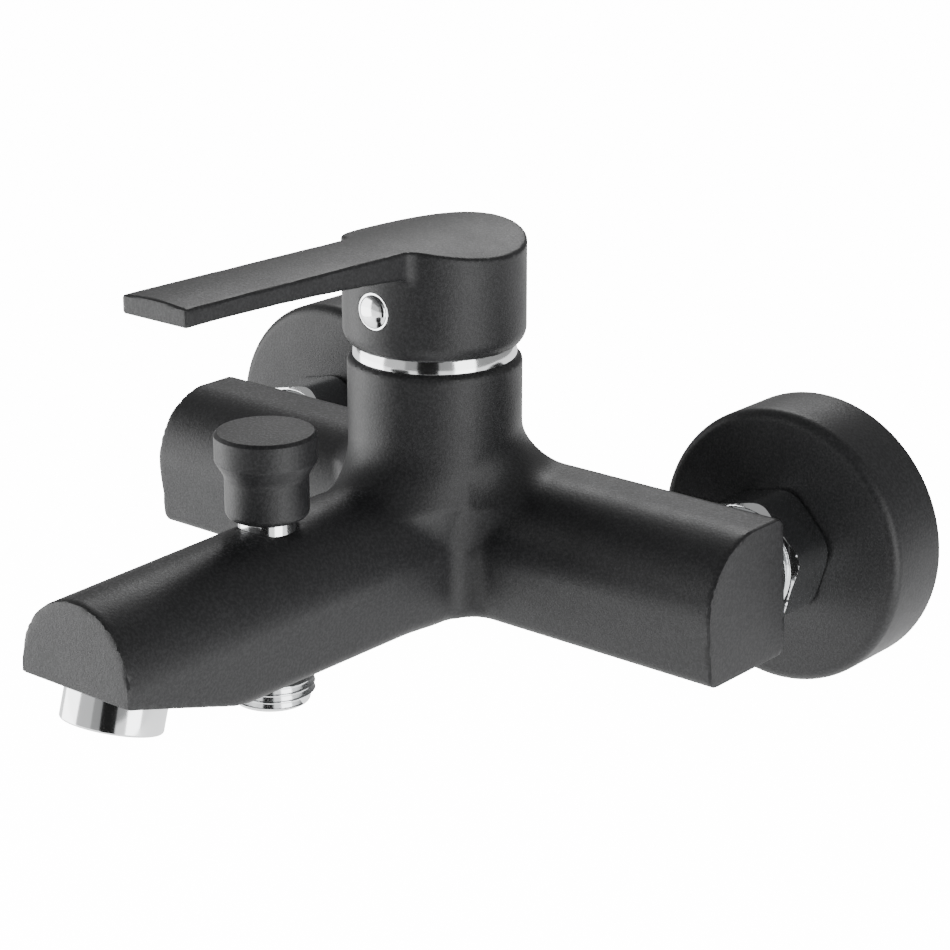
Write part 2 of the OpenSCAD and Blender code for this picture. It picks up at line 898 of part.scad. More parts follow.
module bonnet_o_ring() {
    color("#1e1f20")
        at_diverter() o_ring(bonnet_thread_r - bonnet_ring, bonnet_ring, bonnet_seat - bonnet_ring / 2);
}

module stem_o_ring() {
    color("#1e1f20")
        at_diverter() o_ring(stem_r + run_fit, groove_depth - run_fit, bonnet_z + groove_z + groove_h / 2);
}

module diverter_knob() {
    head_h = 6;
    taper_h = 3;
    foot = 2;
    edge = 0.6;
    dish = 0.35;
    head_z = knob_h - head_h;
    color("#505153")
        at_diverter()
            translate([0, 0, knob_base])
                difference() {
                    rotate_extrude()
                        polygon([
                            [0, 0], [shank_r - foot, 0], [shank_r - 0.6, 0.7], [shank_r, foot],
                            [shank_r, head_z - taper_h], [knob_r, head_z],
                            [knob_r, knob_h - edge], [knob_r - edge, knob_h],
                            [knob_r - 1.5, knob_h - dish], [0, knob_h - dish]
                        ]);
                    translate([0, 0, -cut]) cylinder(r = stem_r, h = stem_top - knob_base + cut);
                }
}

module diverter_stem() {
    color("#c9a55c")
        at_diverter()
            translate([0, 0, shower_seat_z + disc_stack / 3])
                cylinder(r = stem_r, h = stem_top - shower_seat_z - disc_stack / 3);
}

module diverter_plate() {
    color("#c9a55c")
        at_diverter()
            ring_z(valve_plate_r, stem_r, shower_seat_z + disc_stack / 3, disc_stack / 3);
}

module diverter_seals() {
    third = disc_stack / 3;
    color("#1e1f20")
        at_diverter() {
            translate([0, 0, shower_seat_z]) cylinder(r = valve_plate_r, h = third);
            ring_z(valve_plate_r, spring_r + 0.4, shower_seat_z + 2 * third, third);
        }
}

module diverter_spring() {
    low = shower_seat_z + 2 * disc_stack / 3;
    color("#a8aaac")
        at_diverter() ring_z(spring_r, spring_r - spring_wire, low, bonnet_z - low);
}

module shower_nipple() {
    color("#dcdddf")
        at_diverter()
            difference() {
                union() {
                    translate([0, 0, outlet_z])
                        cylinder(r = shower_thread_r, h = -underside - outlet_z);
                    translate([0, 0, outlet_z + 1])
                        cylinder(r = shower_root_r, h = outlet_root_z - outlet_z - 1);
                }
                translate([0, 0, outlet_z - cut])
                    cylinder(r = check_r, h = check_top - outlet_z + cut);
                translate([0, 0, check_top - cut])
                    cylinder(r = port_r, h = outlet_root_z - check_top + 2 * cut);
                translate([0, 0, -underside - relief_h])
                    difference() {
                        cylinder(r = shower_thread_r + 1, h = relief_h + cut);
                        translate([0, 0, -cut])
                            cylinder(r = shower_root_r, h = relief_h + 3 * cut);
                    }
            }
}

module nipple_o_ring() {
    color("#1e1f20")
        at_diverter() o_ring(shower_root_r, relief_h - 0.1, -underside - relief_h / 2);
}

module check_valve_body() {
    arms = 3;
    color("#e6e6e2")
        at_diverter() {
            difference() {
                translate([0, 0, check_bottom]) cylinder(r = check_r, h = check_top - check_bottom);
                translate([0, 0, check_bottom - cut])
                    cylinder(r = check_bore_r, h = poppet_z - check_bottom + cut);
                translate([0, 0, check_bottom]) cylinder(r = check_port_r, h = check_r * 3);
            }
            difference() {
                union() {
                    translate([0, 0, spider_z]) cylinder(r = 2.4, h = spider_h);
                    for (i = [0:arms - 1])
                        rotate([0, 0, i * 360 / arms])
                            translate([0, -0.6, spider_z])
                                cube([check_bore_r + 0.5, 1.2, spider_h]);
                }
                translate([0, 0, spider_z - cut])
                    cylinder(r = poppet_stem_r + run_fit, h = spider_h + 2 * cut);
            }
        }
}

module check_poppet() {
    color("#3d6fb0")
        at_diverter() {
            translate([0, 0, poppet_z - poppet_h]) cylinder(r = poppet_r, h = poppet_h);
            translate([0, 0, spider_z])
                cylinder(r = poppet_stem_r, h = poppet_z - spider_z - cut);
        }
}

module check_spring() {
    low = spider_z + spider_h;
    color("#a8aaac")
        at_diverter() ring_z(2.2, 1.7, low, poppet_z - poppet_h - low);
}

module aerator_housing() {
    edge = 0.5;
    color("#e2e3e5")
        at_aerator()
            difference() {
                union() {
                    rotate_extrude()
                        polygon([
                            [0, -aerator_h], [aerator_r - edge, -aerator_h],
                            [aerator_r, edge - aerator_h], [aerator_r, 0], [0, 0]
                        ]);
                    translate([0, 0, -cut]) cylinder(r = aerator_root_r, h = aerator_root_h + cut);
                }
                translate([0, 0, insert_z])
                    cylinder(r = aerator_r - aerator_wall, h = 3 * aerator_h);
                translate([0, 0, -aerator_h - cut])
                    cylinder(r = aerator_r - aerator_wall - 1, h = 2 * aerator_h);
            }
}

module aerator_insert() {
    hole_r = 0.8;
    rows = [[6, 3], [12, 6]];
    color("#d8d8d4")
        at_aerator()
            difference() {
                translate([0, 0, insert_z]) cylinder(r = aerator_r - aerator_wall, h = insert_h);
                for (row = rows, i = [0:row[0] - 1])
                    rotate([0, 0, i * 360 / row[0]])
                        translate([row[1], 0, insert_z - cut])
                            cylinder(r = hole_r, h = insert_h + 2 * cut, $fn = 16);
            }
}

module aerator_mesh() {
    color("#9fa1a3")
        at_aerator()
            translate([0, 0, mesh_z]) cylinder(r = aerator_r - aerator_wall, h = mesh_h);
}

module aerator_gasket() {
    washer = 2;
    color("#1e1f20")
        at_aerator()
            ring_z(aerator_r - aerator_wall, aerator_r - aerator_wall - washer,
                   mesh_z + mesh_h, washer);
}

body_casting();
wall_rosette(-1);  // wall_rosette_left
wall_rosette(1);  // wall_rosette_right
wall_union(-1);  // wall_union_left
wall_union(1);  // wall_union_right
union_nut(-1);  // union_nut_left
union_nut(1);  // union_nut_right
inlet_tail(-1);  // inlet_tail_left
inlet_tail(1);  // inlet_tail_right
inlet_gasket(-1);  // inlet_gasket_left
inlet_gasket(1);  // inlet_gasket_right
cartridge_base();
cartridge_seals();
fixed_disc();
cartridge_housing();
cartridge_nut();
dome_ring();
spindle_guide();
spindle_pin();
moving_disc();
disc_carrier();
lever_spindle();
lever_handle();
set_screw();
indicator_cap();
diverter_bonnet();
bonnet_o_ring();
stem_o_ring();
diverter_knob();
diverter_stem();
diverter_plate();
diverter_seals();
diverter_spring();
shower_nipple();
nipple_o_ring();
check_valve_body();
check_poppet();
check_spring();
aerator_housing();
aerator_insert();
aerator_mesh();
aerator_gasket();
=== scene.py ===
"""Finished look of a wall mounted bath mixer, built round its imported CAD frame.

The body, the lever, the union nuts and the wall unions are solids given by
distance fields and meshed with their sharp edges kept. Turned pieces are lathed
from rounded outlines. Threads, coils, perforations and woven wire are Geometry
Nodes.
"""

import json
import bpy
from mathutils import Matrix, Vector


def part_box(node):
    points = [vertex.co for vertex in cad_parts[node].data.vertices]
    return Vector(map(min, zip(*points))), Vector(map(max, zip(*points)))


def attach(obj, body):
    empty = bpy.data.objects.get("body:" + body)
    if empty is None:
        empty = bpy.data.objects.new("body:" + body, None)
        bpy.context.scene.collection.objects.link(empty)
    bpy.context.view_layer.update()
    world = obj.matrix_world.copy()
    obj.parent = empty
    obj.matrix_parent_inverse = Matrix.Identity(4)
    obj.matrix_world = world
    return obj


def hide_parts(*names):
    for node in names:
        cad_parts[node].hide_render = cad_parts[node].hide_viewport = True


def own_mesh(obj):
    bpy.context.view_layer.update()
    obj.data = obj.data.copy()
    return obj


bl_info = {
    "name": "Wall mounted bath mixer",
    "version": (1, 0, 0),
    "blender": (4, 5, 0),
    "location": "View3D > Sidebar > Bath Mixer",
    "description": "Builds the finished pieces of a wall mounted bath mixer",
    "category": "Object",
}

from math import atan, atan2, cos, hypot, pi, radians, sin, tan

import bmesh
import bpy
import numpy as np
from mathutils import Matrix, Vector

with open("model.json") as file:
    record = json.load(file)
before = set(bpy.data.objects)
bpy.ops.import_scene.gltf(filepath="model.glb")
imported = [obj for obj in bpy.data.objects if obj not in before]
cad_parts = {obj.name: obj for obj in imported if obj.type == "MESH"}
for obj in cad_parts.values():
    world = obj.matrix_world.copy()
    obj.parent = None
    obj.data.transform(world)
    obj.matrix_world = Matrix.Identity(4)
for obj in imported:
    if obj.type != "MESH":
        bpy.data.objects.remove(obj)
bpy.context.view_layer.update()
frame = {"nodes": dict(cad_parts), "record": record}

MM = 0.001
SHARP = radians(32)


def mm_box(node):
    """Lowest and highest corner of a CAD node, in millimetres."""
    low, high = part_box(node)
    return np.array(low) / MM, np.array(high) / MM


def mm_centre(node):
    low, high = mm_box(node)
    return (low + high) / 2


# Places and sizes read from the frame, in millimetres
BODY_LOW, BODY_HIGH = mm_box("body_casting")
NECK_X, NECK_Y = mm_centre("dome_ring")[:2]
RING_LOW, RING_HIGH = mm_box("dome_ring")
LEVER_LOW, LEVER_HIGH = mm_box("lever_handle")
KNOB_LOW, KNOB_HIGH = mm_box("diverter_knob")
DIVERTER_Y = mm_centre("diverter_knob")[1]
BONNET_LOW, BONNET_HIGH = mm_box("diverter_bonnet")
NIPPLE_LOW, NIPPLE_HIGH = mm_box("shower_nipple")
SPINDLE_HIGH = mm_box("lever_spindle")[1]
CAP_LOW, CAP_HIGH = mm_box("indicator_cap")
SCREW_Z = mm_centre("set_screw")[2]
UNDERSIDE = BODY_LOW[2]
NECK_TOP = BODY_HIGH[2]
BAR_HALF = BODY_HIGH[0]
BACK_Y = BODY_HIGH[1]
TIP_Y = BODY_LOW[1]


def size(name, description, default, low=-1000.0, high=1000.0):
    """Length in millimetres that a user may change."""
    return bpy.props.FloatProperty(name=name, description=description, default=default,
                                   min=low, max=high)


def slant(name, description, degrees):
    """Angle that a user may change."""
    return bpy.props.FloatProperty(name=name, description=description,
                                   default=radians(degrees), subtype="ANGLE")


def tint(name, description, default):
    """Colour that a user may change."""
    return bpy.props.FloatVectorProperty(name=name, description=description, subtype="COLOR",
                                         size=3, default=default, min=0, max=1)


class MixerSizes(bpy.types.PropertyGroup):
    """Sizes of the finished surfaces, in millimetres."""

    body_cell: size("Body mesh cell", "Edge of the body's mesh cells", 0.95, 0.6, 3)
    lever_cell: size("Lever mesh cell", "Edge of the lever's mesh cells", 0.55, 0.3, 2)
    neck_radius: size("Neck radius", "Radius of the neck below the lever", 21.8, 15, 30)
    neck_fillet: size("Neck fillet", "Radius of the sweep from the neck to the crossbar",
                      11, 1, 30)
    crotch_fillet: size("Crotch fillet", "Radius of the sweep from the spout to the crossbar",
                        7.4, 1, 30)
    body_edge: size("Body edge rounding", "Radius of the casting's outer edges", 0.7, 0.1, 3)
    bar_radius: size("Crossbar front radius", "Radius of the crossbar's round front",
                     18, 10, 25)
    bar_top: size("Crossbar top", "Height of the crossbar's flat top", 17.5, 10, 25)
    bar_lean: slant("Crossbar front lean", "Backward lean of the front's lower part", 5.2)
    bar_drop: size("Crossbar drop", "How far the crossbar's underside is below the spout's",
                   0.9, 0, 2)
    bar_centre_y: size("Crossbar centre", "Place of the round front's centre from the wall",
                       -52.7)
    spout_radius: size("Spout radius", "Radius of the spout's arched top", 17.5, 10, 25)
    spout_lean: size("Spout side lean", "Inward lean of a side over the spout's height",
                     0.8, 0, 3)
    fall_start: size("Start of the crest's fall", "Where the spout's crest starts to fall",
                     -108)
    fall_angle: slant("Fall of the crest", "Fall of the spout's crest towards the tip", 1.7)
    tip_rise: slant("Rise of the tip", "Rise of the underside at the spout's tip", 16.9)
    tip_edge: size("Tip edge", "Height of the end face's lower edge", -5.4)
    end_lean: slant("Lean of the end face", "Backward lean of the spout's end face", 3.3)
    paddle_width: size("Paddle width", "Width of the lever's paddle", 20.4, 10, 30)
    crown_radius: size("Crown radius", "Radius of the barrel crown of the lever's top",
                       78, 40, 400)
    thread_pitch: size("Thread pitch", "Pitch of the pipe threads", 1.814, 0.5, 4)


class MixerColours(bpy.types.PropertyGroup):
    """Colours of the finishes."""

    powder: tint("Powder coat", "Colour of the black powder coat", (0.0125, 0.0127, 0.0136))
    powder_fleck: tint("Powder fleck", "Colour of the paler grains in the powder coat",
                       (0.023, 0.0233, 0.0247))
    chrome: tint("Chrome", "Colour of the polished chrome", (0.86, 0.865, 0.875))
    brass: tint("Brass", "Colour of the bare brass", (0.72, 0.52, 0.24))
    floor: tint("Floor", "Colour of the floor", (0.92, 0.92, 0.92))


def sizes():
    return bpy.context.scene.mixer_sizes


def colours():
    return bpy.context.scene.mixer_colours


# ---------------------------------------------------------------- meshes

def new_object(name, mesh):
    piece = bpy.data.objects.new(name, mesh)
    bpy.context.scene.collection.objects.link(piece)
    return piece


def shade(mesh):
    mesh.shade_smooth()
    mesh.set_sharp_from_angle(angle=SHARP)


def mesh_from(name, points_mm, faces):
    """Mesh in metres, with its faces turned outwards."""
    mesh = bpy.data.meshes.new(name)
    mesh.from_pydata((np.asarray(points_mm) * MM).tolist(), [], faces)
    work = bmesh.new()
    work.from_mesh(mesh)
    bmesh.ops.remove_doubles(work, verts=work.verts, dist=1e-7)
    bmesh.ops.dissolve_degenerate(work, edges=work.edges, dist=1e-8)
    bmesh.ops.recalc_face_normals(work, faces=work.faces)
    work.to_mesh(mesh)
    work.free()
    shade(mesh)
    return mesh


def slope_of(field, points, reach=0.02):
    """Unit gradient of a field at each point."""
    slope = np.empty_like(points)
    for axis in range(3):
        step = np.zeros(3)
        step[axis] = reach
        slope[:, axis] = field(*(points + step).T) - field(*(points - step).T)
    return slope / np.maximum(np.linalg.norm(slope, axis=1, keepdims=True), 1e-9)


def contour(name, field, low, high, cell):
    """Mesh of the surface where field is zero, by dual contouring.

    Each cell that the surface crosses gets one vertex, placed where the tangent
    planes at the cell's crossings meet, so edges stay crisp.
    """
    # The margin keeps flat faces off the grid's planes
    margin, pull_to_middle, overhang = 1.37, 0.04, 0.05
    start = np.asarray(low, float) - margin * cell
    ends = np.asarray(high, float) + 1.5 * cell
    axes = [np.arange(a, b + cell, cell) for a, b in zip(start, ends)]
    grid = np.ix_(*axes)
    value = field(*grid) + np.zeros([len(a) for a in axes])
    inside = value < 0
    shape = np.array(value.shape) - 1
    rings, places, slopes = [], [], []
    for axis in range(3):
        near = tuple(slice(0, -1) if a == axis else slice(None) for a in range(3))
        far = tuple(slice(1, None) if a == axis else slice(None) for a in range(3))
        crossed = inside[near] != inside[far]
        corner = np.argwhere(crossed)
        a, b = value[near][crossed], value[far][crossed]
        place = start + cell * corner
        place[:, axis] += cell * a / (a - b)
        ring = []
        for du, dv in ((-1, -1), (0, -1), (0, 0), (-1, 0)):
            around = corner.copy()
            around[:, (axis + 1) % 3] += du
            around[:, (axis + 2) % 3] += dv
            ring.append(np.ravel_multi_index(around.T, shape))
        ring = np.stack(ring, 1)
        turned = ~inside[near][crossed]
        ring[turned] = ring[turned][:, ::-1]
        rings.append(ring)
        places.append(place)
        slopes.append(slope_of(field, place))
    ring = np.concatenate(rings)
    place = np.repeat(np.concatenate(places), 4, axis=0)
    slope = np.repeat(np.concatenate(slopes), 4, axis=0)
    cells, owner = np.unique(ring, return_inverse=True)
    owner = owner.ravel()

    def gathered(values):
        return np.bincount(owner, values, len(cells))

    count = gathered(np.ones(len(owner)))
    middle = np.stack([gathered(place[:, i]) / count for i in range(3)], 1)
    offset = (slope * (place - middle[owner])).sum(1)
    matrix = np.empty((len(cells), 3, 3))
    pull = np.empty((len(cells), 3))
    for i in range(3):
        pull[:, i] = gathered(slope[:, i] * offset)
        for j in range(3):
            matrix[:, i, j] = gathered(slope[:, i] * slope[:, j])
    matrix += pull_to_middle * np.eye(3)
    vertex = middle + np.linalg.solve(matrix, pull[..., None])[..., 0]
    base = start + cell * np.stack(np.unravel_index(cells, shape), 1)
    vertex = np.clip(vertex, base - overhang * cell, base + (1 + overhang) * cell)
    mesh = bpy.data.meshes.new(name)
    mesh.from_pydata((vertex * MM).tolist(), [], owner.reshape(-1, 4).tolist())
    mesh.validate()
    shade(mesh)
    return mesh


def rounded(outline, steps=6):
    """Closed outline whose corners (a, b, radius) become arcs where the radius isn't 0."""
    points = []
    count = len(outline)
    for i, (a, b, radius) in enumerate(outline):
        here = np.array([a, b], float)
        if radius <= 0:
            points.append(here)
            continue
        back = np.array(outline[i - 1][:2], float) - here
        ahead = np.array(outline[(i + 1) % count][:2], float) - here
        back /= np.linalg.norm(back)
        ahead /= np.linalg.norm(ahead)
        half = atan2(abs(back[0] * ahead[1] - back[1] * ahead[0]), float(back @ ahead)) / 2
        middle = (back + ahead) / np.linalg.norm(back + ahead)
        centre = here + middle * radius / sin(half)
        first = here + back * radius / tan(half) - centre
        last = here + ahead * radius / tan(half) - centre
        start = atan2(first[1], first[0])
        turn = (atan2(last[1], last[0]) - start + pi) % (2 * pi) - pi
        for k in range(steps + 1):
            angle = start + turn * k / steps
            points.append(centre + radius * np.array([cos(angle), sin(angle)]))
    return points


def lathe(name, outline, placed=Matrix.Identity(4), around=128):
    """Closed outline of (radius, height) turned about Z, then placed, all in millimetres."""
    points, faces, rows = [], [], []
    for r, h in outline:
        if r < 1e-6:
            rows.append([len(points)] * around)
            points.append((0, 0, h))
            continue
        rows.append(list(range(len(points), len(points) + around)))
        for k in range(around):
            angle = 2 * pi * k / around
            points.append((r * cos(angle), r * sin(angle), h))
    for i, row in enumerate(rows):
        other = rows[i - 1]
        for k in range(around):
            n = (k + 1) % around
            corners = []
            for c in (other[k], other[n], row[n], row[k]):
                if c not in corners:
                    corners.append(c)
            if len(corners) > 2:
                faces.append(corners)
    points = [tuple(placed @ Vector(p)) for p in points]
    return mesh_from(name, points, faces)


def joined(name, *meshes):
    """One mesh that holds the others' faces."""
    work = bmesh.new()
    for mesh in meshes:
        work.from_mesh(mesh)
    result = bpy.data.meshes.new(name)
    work.to_mesh(result)
    work.free()
    shade(result)
    for mesh in meshes:
        bpy.data.meshes.remove(mesh)
    return result


def at(x=0, y=0, z=0):
    return Matrix.Translation((x, y, z))


def facing_room(x, y, z):
    """Local Z points at the room, along -Y."""
    return at(x, y, z) @ Matrix.Rotation(pi / 2, 4, "X")


def lying(node):
    """Radius and length of a node along Y, and the place of its back's middle."""
    low, high = mm_box(node)
    middle = (low + high) / 2
    return (high[0] - low[0]) / 2, high[1] - low[1], (middle[0], high[1], middle[2])


def at_aerator():
    """Local Z stands square to the rising underside, up into the spout."""
    rise = sizes().tip_rise
    centre = mm_centre("aerator_mesh")
    up = Vector((0, sin(rise), cos(rise)))
    # The aerator's face lies on the plane of the rising underside
    to_edge = Vector((0, centre[1] - TIP_Y, centre[2] - sizes().tip_edge))
    foot = Vector(centre) - up * to_edge.dot(up)
    return Matrix.Translation(foot) @ Matrix.Rotation(-rise, 4, "X")


def ride_on(body, slot, name, mesh, *nodes):
    """Piece with its slot's finish that rides on a body and stands for CAD nodes."""
    piece = new_object(name, paint(mesh, finish_of(slot)))
    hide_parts(*nodes)
    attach(piece, body)
    return piece


# ---------------------------------------------------------------- solids

def round_union(a, b, radius):
    """Union of two fields with a round fillet between them."""
    fillet = radius - np.hypot(np.maximum(radius - a, 0), np.maximum(radius - b, 0))
    return np.where(np.minimum(a, b) < radius, np.minimum(np.minimum(a, b), fillet),
                    np.minimum(a, b))


def round_cut(a, b, radius):
    """Intersection of two fields with its outer edge rounded."""
    return -round_union(-a, -b, radius)


def upright(x, y, z, centre, radius, low=-1e3, high=1e3):
    """Vertical cylinder."""
    side = np.hypot(x - centre[0], y - centre[1]) - radius
    return np.maximum(side, np.maximum(low - z, z - high))


def towards_room(x, y, z, centre, radius, back, front):
    """Cylinder along Y from back forwards to front."""
    side = np.hypot(x - centre[0], z - centre[1]) - radius
    return np.maximum(side, np.maximum(front - y, y - back))


def bottom_of(y):
    """Height of the underside, a little lower under the crossbar than under the spout."""
    behind_diverter, run = 30, 16
    share = np.clip((y - DIVERTER_Y - behind_diverter) / run, 0, 1)
    return UNDERSIDE - sizes().bar_drop * share * share * (3 - 2 * share)


def bar_fields(y, z):
    """Round front and flat back of the crossbar, without its ends."""
    s = sizes()
    radius = s.bar_radius
    centre_z = s.bar_top - radius
    lean = s.bar_lean
    ahead = s.bar_centre_y - y
    up = z - centre_z
    round_front = np.where(ahead > 0, np.hypot(ahead, up), np.abs(up)) - radius
    straight = (ahead - radius * cos(lean)) * cos(lean) - (up + radius * sin(lean)) * sin(lean)
    front = np.where(up < -radius * sin(lean), straight, round_front)
    back_lean, back_foot, bottom_round = atan(2.5 / 32), -15, 3.5
    back = (y - BACK_Y) * cos(back_lean) + (z - back_foot) * sin(back_lean)
    return front, round_cut(back, bottom_of(y) - z, bottom_round)


def spout_field(x, y, z):
    """Arched spout, without its underside and end."""
    s = sizes()
    fallen = np.maximum(s.fall_start - y, 0) * tan(s.fall_angle)
    up = z + fallen
    arch = np.hypot(x, up) - s.spout_radius
    side = np.abs(x) - s.spout_radius - up * s.spout_lean / -UNDERSIDE
    return np.where(up > 0, arch, side) + 0 * y


def body_outside(x, y, z):
    """Crossbar, spout and neck swept into each other, without the cut faces."""
    s = sizes()
    spout_root, back_round = -50, 3.0
    front, back = bar_fields(y, z)
    spout = np.maximum(spout_field(x, y, z), y - spout_root)
    neck = np.hypot(x - NECK_X, y - NECK_Y) - s.neck_radius
    cross = round_union(front, spout, s.crotch_fillet)
    # The neck's fillet runs out below the shoulder, where the crotch fillet takes over
    run_low, run_height, depth, least = -1, 13, 2.6, 0.2
    run_out = np.clip((z - run_low) / run_height, 0, 1)
    buried = neck + depth * (1 - run_out)
    filleted = round_union(buried, cross, s.neck_fillet * (least + (1 - least) * run_out))
    return np.minimum(round_cut(filleted, back, back_round), buried)


def body_field(x, y, z):
    """The body's casting with its crisp faces and the bores that hold its pieces."""
    s = sizes()
    neck_top_round = 1.8
    solid = round_cut(body_outside(x, y, z), z - NECK_TOP, neck_top_round)
    tip = (y - TIP_Y) * -sin(s.tip_rise) - (z - s.tip_edge) * cos(s.tip_rise)
    end = -(y - TIP_Y) * cos(s.end_lean) + (z - s.tip_edge) * sin(s.end_lean)
    solid = np.maximum(solid, y - BACK_Y)
    for face in (np.abs(x) - BAR_HALF, end, np.maximum(bottom_of(y) - z, tip)):
        solid = round_cut(solid, face, s.body_edge)
    neck = (NECK_X, NECK_Y)
    nut_low, nut_high = mm_box("cartridge_nut")
    bores = [
        upright(x, y, z, neck, mm_box("cartridge_housing")[1][0] + 0.1,
                mm_box("cartridge_base")[0][2]),
        upright(x, y, z, neck, nut_high[0], nut_low[2]),
    ]
    tail_thread, tail_seat = 9.8, BACK_Y - 2.5
    for side in ("left", "right"):
        collar, length, place = lying("inlet_tail_" + side)
        bores.append(towards_room(x, y, z, place[::2], collar, 0, tail_seat))
        bores.append(towards_room(x, y, z, place[::2], tail_thread, 0, place[1] - length))
    diverter = (0, DIVERTER_Y)
    chamber, port, bonnet_thread, nipple_root = 8.5, 5.5, 6.2, 9.2
    chamber_low = mm_box("diverter_seals")[0][2]
    chamber_top = chamber_low + 12
    bonnet_flange, bonnet_seat = (BONNET_HIGH[0] - BONNET_LOW[0]) / 2, 16
    bores += [
        upright(x, y, z, diverter, chamber, chamber_low, chamber_top),
        upright(x, y, z, diverter, port, NIPPLE_HIGH[2] - 1, chamber_top + 3),
        upright(x, y, z, diverter, bonnet_thread, chamber_top + 2),
        upright(x, y, z, diverter, bonnet_flange, bonnet_seat),
        upright(x, y, z, diverter, nipple_root, UNDERSIDE - 5, NIPPLE_HIGH[2]),
    ]
    aerator_root, aerator_depth = 10.9, 6
    to_local = at_aerator().inverted()
    local_y, local_z = (to_local[i][1] * y + to_local[i][2] * z + to_local[i][3]
                        for i in (1, 2))
    bores.append(upright(x, local_y, local_z, (0, 0), aerator_root, -5, aerator_depth))
    for bore in bores:
        solid = np.maximum(solid, -bore)
    return solid


def lever_field(x, y, z):
    """Hub and paddle in one casting, hollow under the hub."""
    s = sizes()
    hub_radius, hub_front = LEVER_HIGH[0], NECK_Y - LEVER_HIGH[0]
    rim, tip = LEVER_LOW[2], LEVER_LOW[1]
    reach = np.hypot(x, y - NECK_Y)
    # The top is crowned like a barrel along the paddle
    top_slope = 0.0171
    top = z - (LEVER_HIGH[2] - (y - tip) * top_slope - x * x / (2 * s.crown_radius))
    rim_height, rim_arc = 4, 5.16
    fall = np.clip(rim + rim_height - z, 0, 5)
    hub = reach - hub_radius + rim_arc - np.sqrt(rim_arc ** 2 - fall ** 2)
    under_root, under_rise = 70.0, 3.5
    along = np.clip((hub_front - y) / (hub_front - tip), -0.2, 1.1)
    below = under_root + under_rise * (1 - (1 - along) ** 2) - z
    sides = np.abs(x) - s.paddle_width / 2
    paddle = round_cut(np.maximum(sides, y - NECK_Y), below, 0.9)
    paddle = round_cut(paddle, tip - y, 0.8)
    solid = round_cut(round_union(hub, paddle, 2.3), top, 0.8)
    solid = np.maximum(solid, rim - z)
    roof, clear, rib_height = LEVER_HIGH[2] - 6.9, rim + 8.5, 8
    hub_wall, rim_wall, boss_radius, rib_half = 1.55, 2.3, 9, 4.5
    wall = np.where(z > rim + 3.5, hub_radius - hub_wall, hub_radius - rim_wall)
    cavity = np.maximum(reach - wall, z - roof)
    boss = np.maximum(reach - boss_radius, clear - z)
    rib = np.maximum(np.maximum(np.abs(x) - rib_half, y - NECK_Y),
                     np.maximum(clear - z, z - clear - rib_height))
    cavity = np.maximum(cavity, -np.minimum(boss, rib))
    solid = np.maximum(solid, -cavity)
    socket = np.maximum(np.abs(x), np.abs(y - NECK_Y)) - SPINDLE_HIGH[0] - 0.05
    holes = [np.maximum(socket, z - SPINDLE_HIGH[2] - 0.6)]
    # Set screw, the cap's stem and the cap's seat
    for radius, back in ((2.5, NECK_Y), (3.4, NECK_Y - 13), (CAP_HIGH[0], hub_front + 0.6)):
        holes.append(towards_room(x, y, z, (0, SCREW_Z), radius, back, hub_front - 3))
    for hole in holes:
        solid = np.maximum(solid, -hole)
    return solid


def nut_field(turn, flats, radius, thread, neck, lip, length):
    """Hexagonal union nut about the origin, from y = 0 forwards to y = -length."""
    corner_round, front_bevel, back_bevel = 0.7, 1.9, 1.2
    bevel_out, bevel_along = 0.5, 0.87

    def field(x, y, z):
        hexagon = -1e3
        for k in range(3):
            angle = turn + pi / 6 + k * pi / 3
            hexagon = np.maximum(hexagon, np.abs(x * cos(angle) + z * sin(angle)) - flats / 2)
        reach = np.hypot(x, z)
        hexagon = round_cut(hexagon, reach - radius, corner_round)
        ends = np.maximum(y, -y - length)
        cone = (reach - radius + front_bevel) * bevel_out + (-y - length) * bevel_along
        cone_back = (reach - radius + back_bevel) * bevel_out + y * bevel_along
        body = np.maximum(np.maximum(hexagon, ends), np.maximum(cone, cone_back))
        hole = np.maximum(reach - thread, -y - lip)
        body = np.maximum(body, -hole)
        return np.maximum(body, neck - reach)

    return field


# ---------------------------------------------------------------- node trees

SOCKET_OF_TYPE = {int: "Int", float: "Float", tuple: "Color"}


def add_node(tree, kind, inputs=None, **settings):
    """New node with its settings; each input gets a socket's link or a plain value."""
    made = tree.nodes.new(kind)
    for name, value in settings.items():
        setattr(made, name, value)
    for label, value in (inputs or {}).items():
        if isinstance(value, bpy.types.NodeSocket):
            tree.links.new(value, made.inputs[label])
        else:
            made.inputs[label].default_value = value
    return made


def maths(tree, operation, a, b=0.0):
    """Output of a Math node on two sockets or numbers."""
    return add_node(tree, "ShaderNodeMath", {0: a, 1: b}, operation=operation).outputs[0]


def new_group(kind, name, inputs, outputs):
    """Node group with inputs (label: default or kind of socket) and outputs (label: kind)."""
    tree = bpy.data.node_groups.new(name, kind)
    for label, default in inputs.items():
        sort = default if isinstance(default, str) else SOCKET_OF_TYPE[type(default)]
        item = tree.interface.new_socket(label, in_out="INPUT",
                                         socket_type="NodeSocket" + sort)
        if sort != default:
            item.default_value = default
    for label, sort in outputs.items():
        tree.interface.new_socket(label, in_out="OUTPUT", socket_type="NodeSocket" + sort)
    return tree, add_node(tree, "NodeGroupInput").outputs


def new_tree(name, **inputs):
    """Geometry tree with named float or integer inputs and a Material input."""
    return new_group("GeometryNodeTree", name,
                     {"Geometry": "Geometry", **inputs, "Material": "Material"},
                     {"Geometry": "Geometry"})


def finish_tree(tree, given, geometry):
    """Ends a tree in Realize Instances and Set Material."""
    realize = add_node(tree, "GeometryNodeRealizeInstances", {0: geometry})
    paint_all = add_node(tree, "GeometryNodeSetMaterial", {
        "Geometry": realize.outputs[0], "Material": given["Material"]})
    add_node(tree, "NodeGroupOutput", {0: paint_all.outputs[0]})
    return tree


